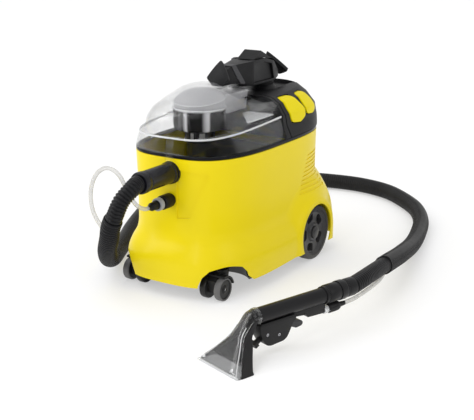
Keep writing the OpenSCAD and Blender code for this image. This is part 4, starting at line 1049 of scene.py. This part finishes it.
trigger = slab("trigger_key", rounded([
    (147, 50), (156, 50), (161, 46.5), (181, 42.5), (184, 38), (181, 33), (168, 31.5),
    (156, 37), (147, 39)], 0, 3, 5), -8, 8)
eased_edges(trigger, 1.4, 3, 40)
carve(trigger, joined(*[bar("grip", 164 + 4 * k, 165.4 + 4 * k, 30, 33.4, -20, 20)
                        for k in range(4)]))
carve(trigger, turned_piece("pin_room", [(0, -20), (2.56, -20), (2.56, 20), (0, 20)],
                            (0, 151, 44), "x", 48))
trigger_black = moulded("trigger_black", (.022, .022, .025), .15, .34, 900, .2, .1)
dressed(on_tool(trigger), trigger_black, "black_plastic", "trigger", "trigger")
knob = turned_piece("coupling_knob", [
    (0, 247.2), (7.6, 247.2), (9, 248.8), (9.4, 251), (9.4, 262), (9, 271), (7.6, 274.6),
    (5.2, 276), (4.6, 283), (4.1, 290), (0, 290), (0, 247.2)], coupling_centre, "y", 80)
flutes_and_painted_reflections = []
for k in range(8):
    flute = turned_piece("flute", [(0, 251), (1.6, 252), (2, 255), (2, 266), (1.6, 269),
                                   (0, 270)], (10.6, 0, 0), "y", 24)
    flute.data.transform(Matrix.Translation((0, 0, 45 * MM))
                         @ Matrix.Rotation(math.radians(45 * k + 22), 4, "Y"))
    flutes_and_painted_reflections.append(flute)
carve(knob, joined(*flutes_and_painted_reflections))
dressed(on_tool(knob), black_grained, "black_plastic", "machine", "spray_coupling")
# the nut is whitish clear: a painted highlight
clear_nut = on_tool(turned_piece("clear_nut", [
    (3.6, 237), (6.4, 237), (7.6, 238), (7.6, 246), (6.8, 247), (3.6, 247), (3.6, 237)],
    coupling_centre, "y", 72))
dressed(clear_nut, bright_clear, "clear_plastic", "machine")


# ---- Inner and small parts ----
# What is inside or plain keeps its own solid: the clear tank, its divider, the motor, the
# pump, the frame and base plate in black, pins and axles in turned steel.
clear_tank = clear_plastic("clear_tank", (.78, .80, .80), .72, .10, 1.49)
clear_catch = clear_plastic("clear_catch", (.90, .92, .94), .95, .05, 1.49, .5)
dark_plastic = moulded("dark_plastic", (.040, .040, .044), .2, .45, 900, .25, .3)
motor_grey = moulded("motor_grey", (.24, .25, .26), .15, .45, 900, .2, .2)
white_float = moulded("white_float", (.78, .78, .75), .05, .35, 900, .1, .1)
for names, paint in (
        (("tank", "tank_divider"), clear_tank), (("lid_catches",), clear_catch),
        (("chassis", "base_plate", "spray_pump"), dark_plastic), (("vacuum_motor",), motor_grey),
        (("float",), white_float),
        (("float_cage", "handle_bracket", "nozzle_cradle", "hook_post", "cable_hook",
          "cable_gland", "caster_hood_right", "caster_hood_left", "spray_jet", "spray_pipe"),
         black_grained),
        (("switch_pins", "rear_axle", "caster_axle_right", "caster_axle_left", "trigger_pin"),
         dark_steel)):
    for name in names:
        nodes[name].data.materials.clear()
        nodes[name].data.materials.append(paint)
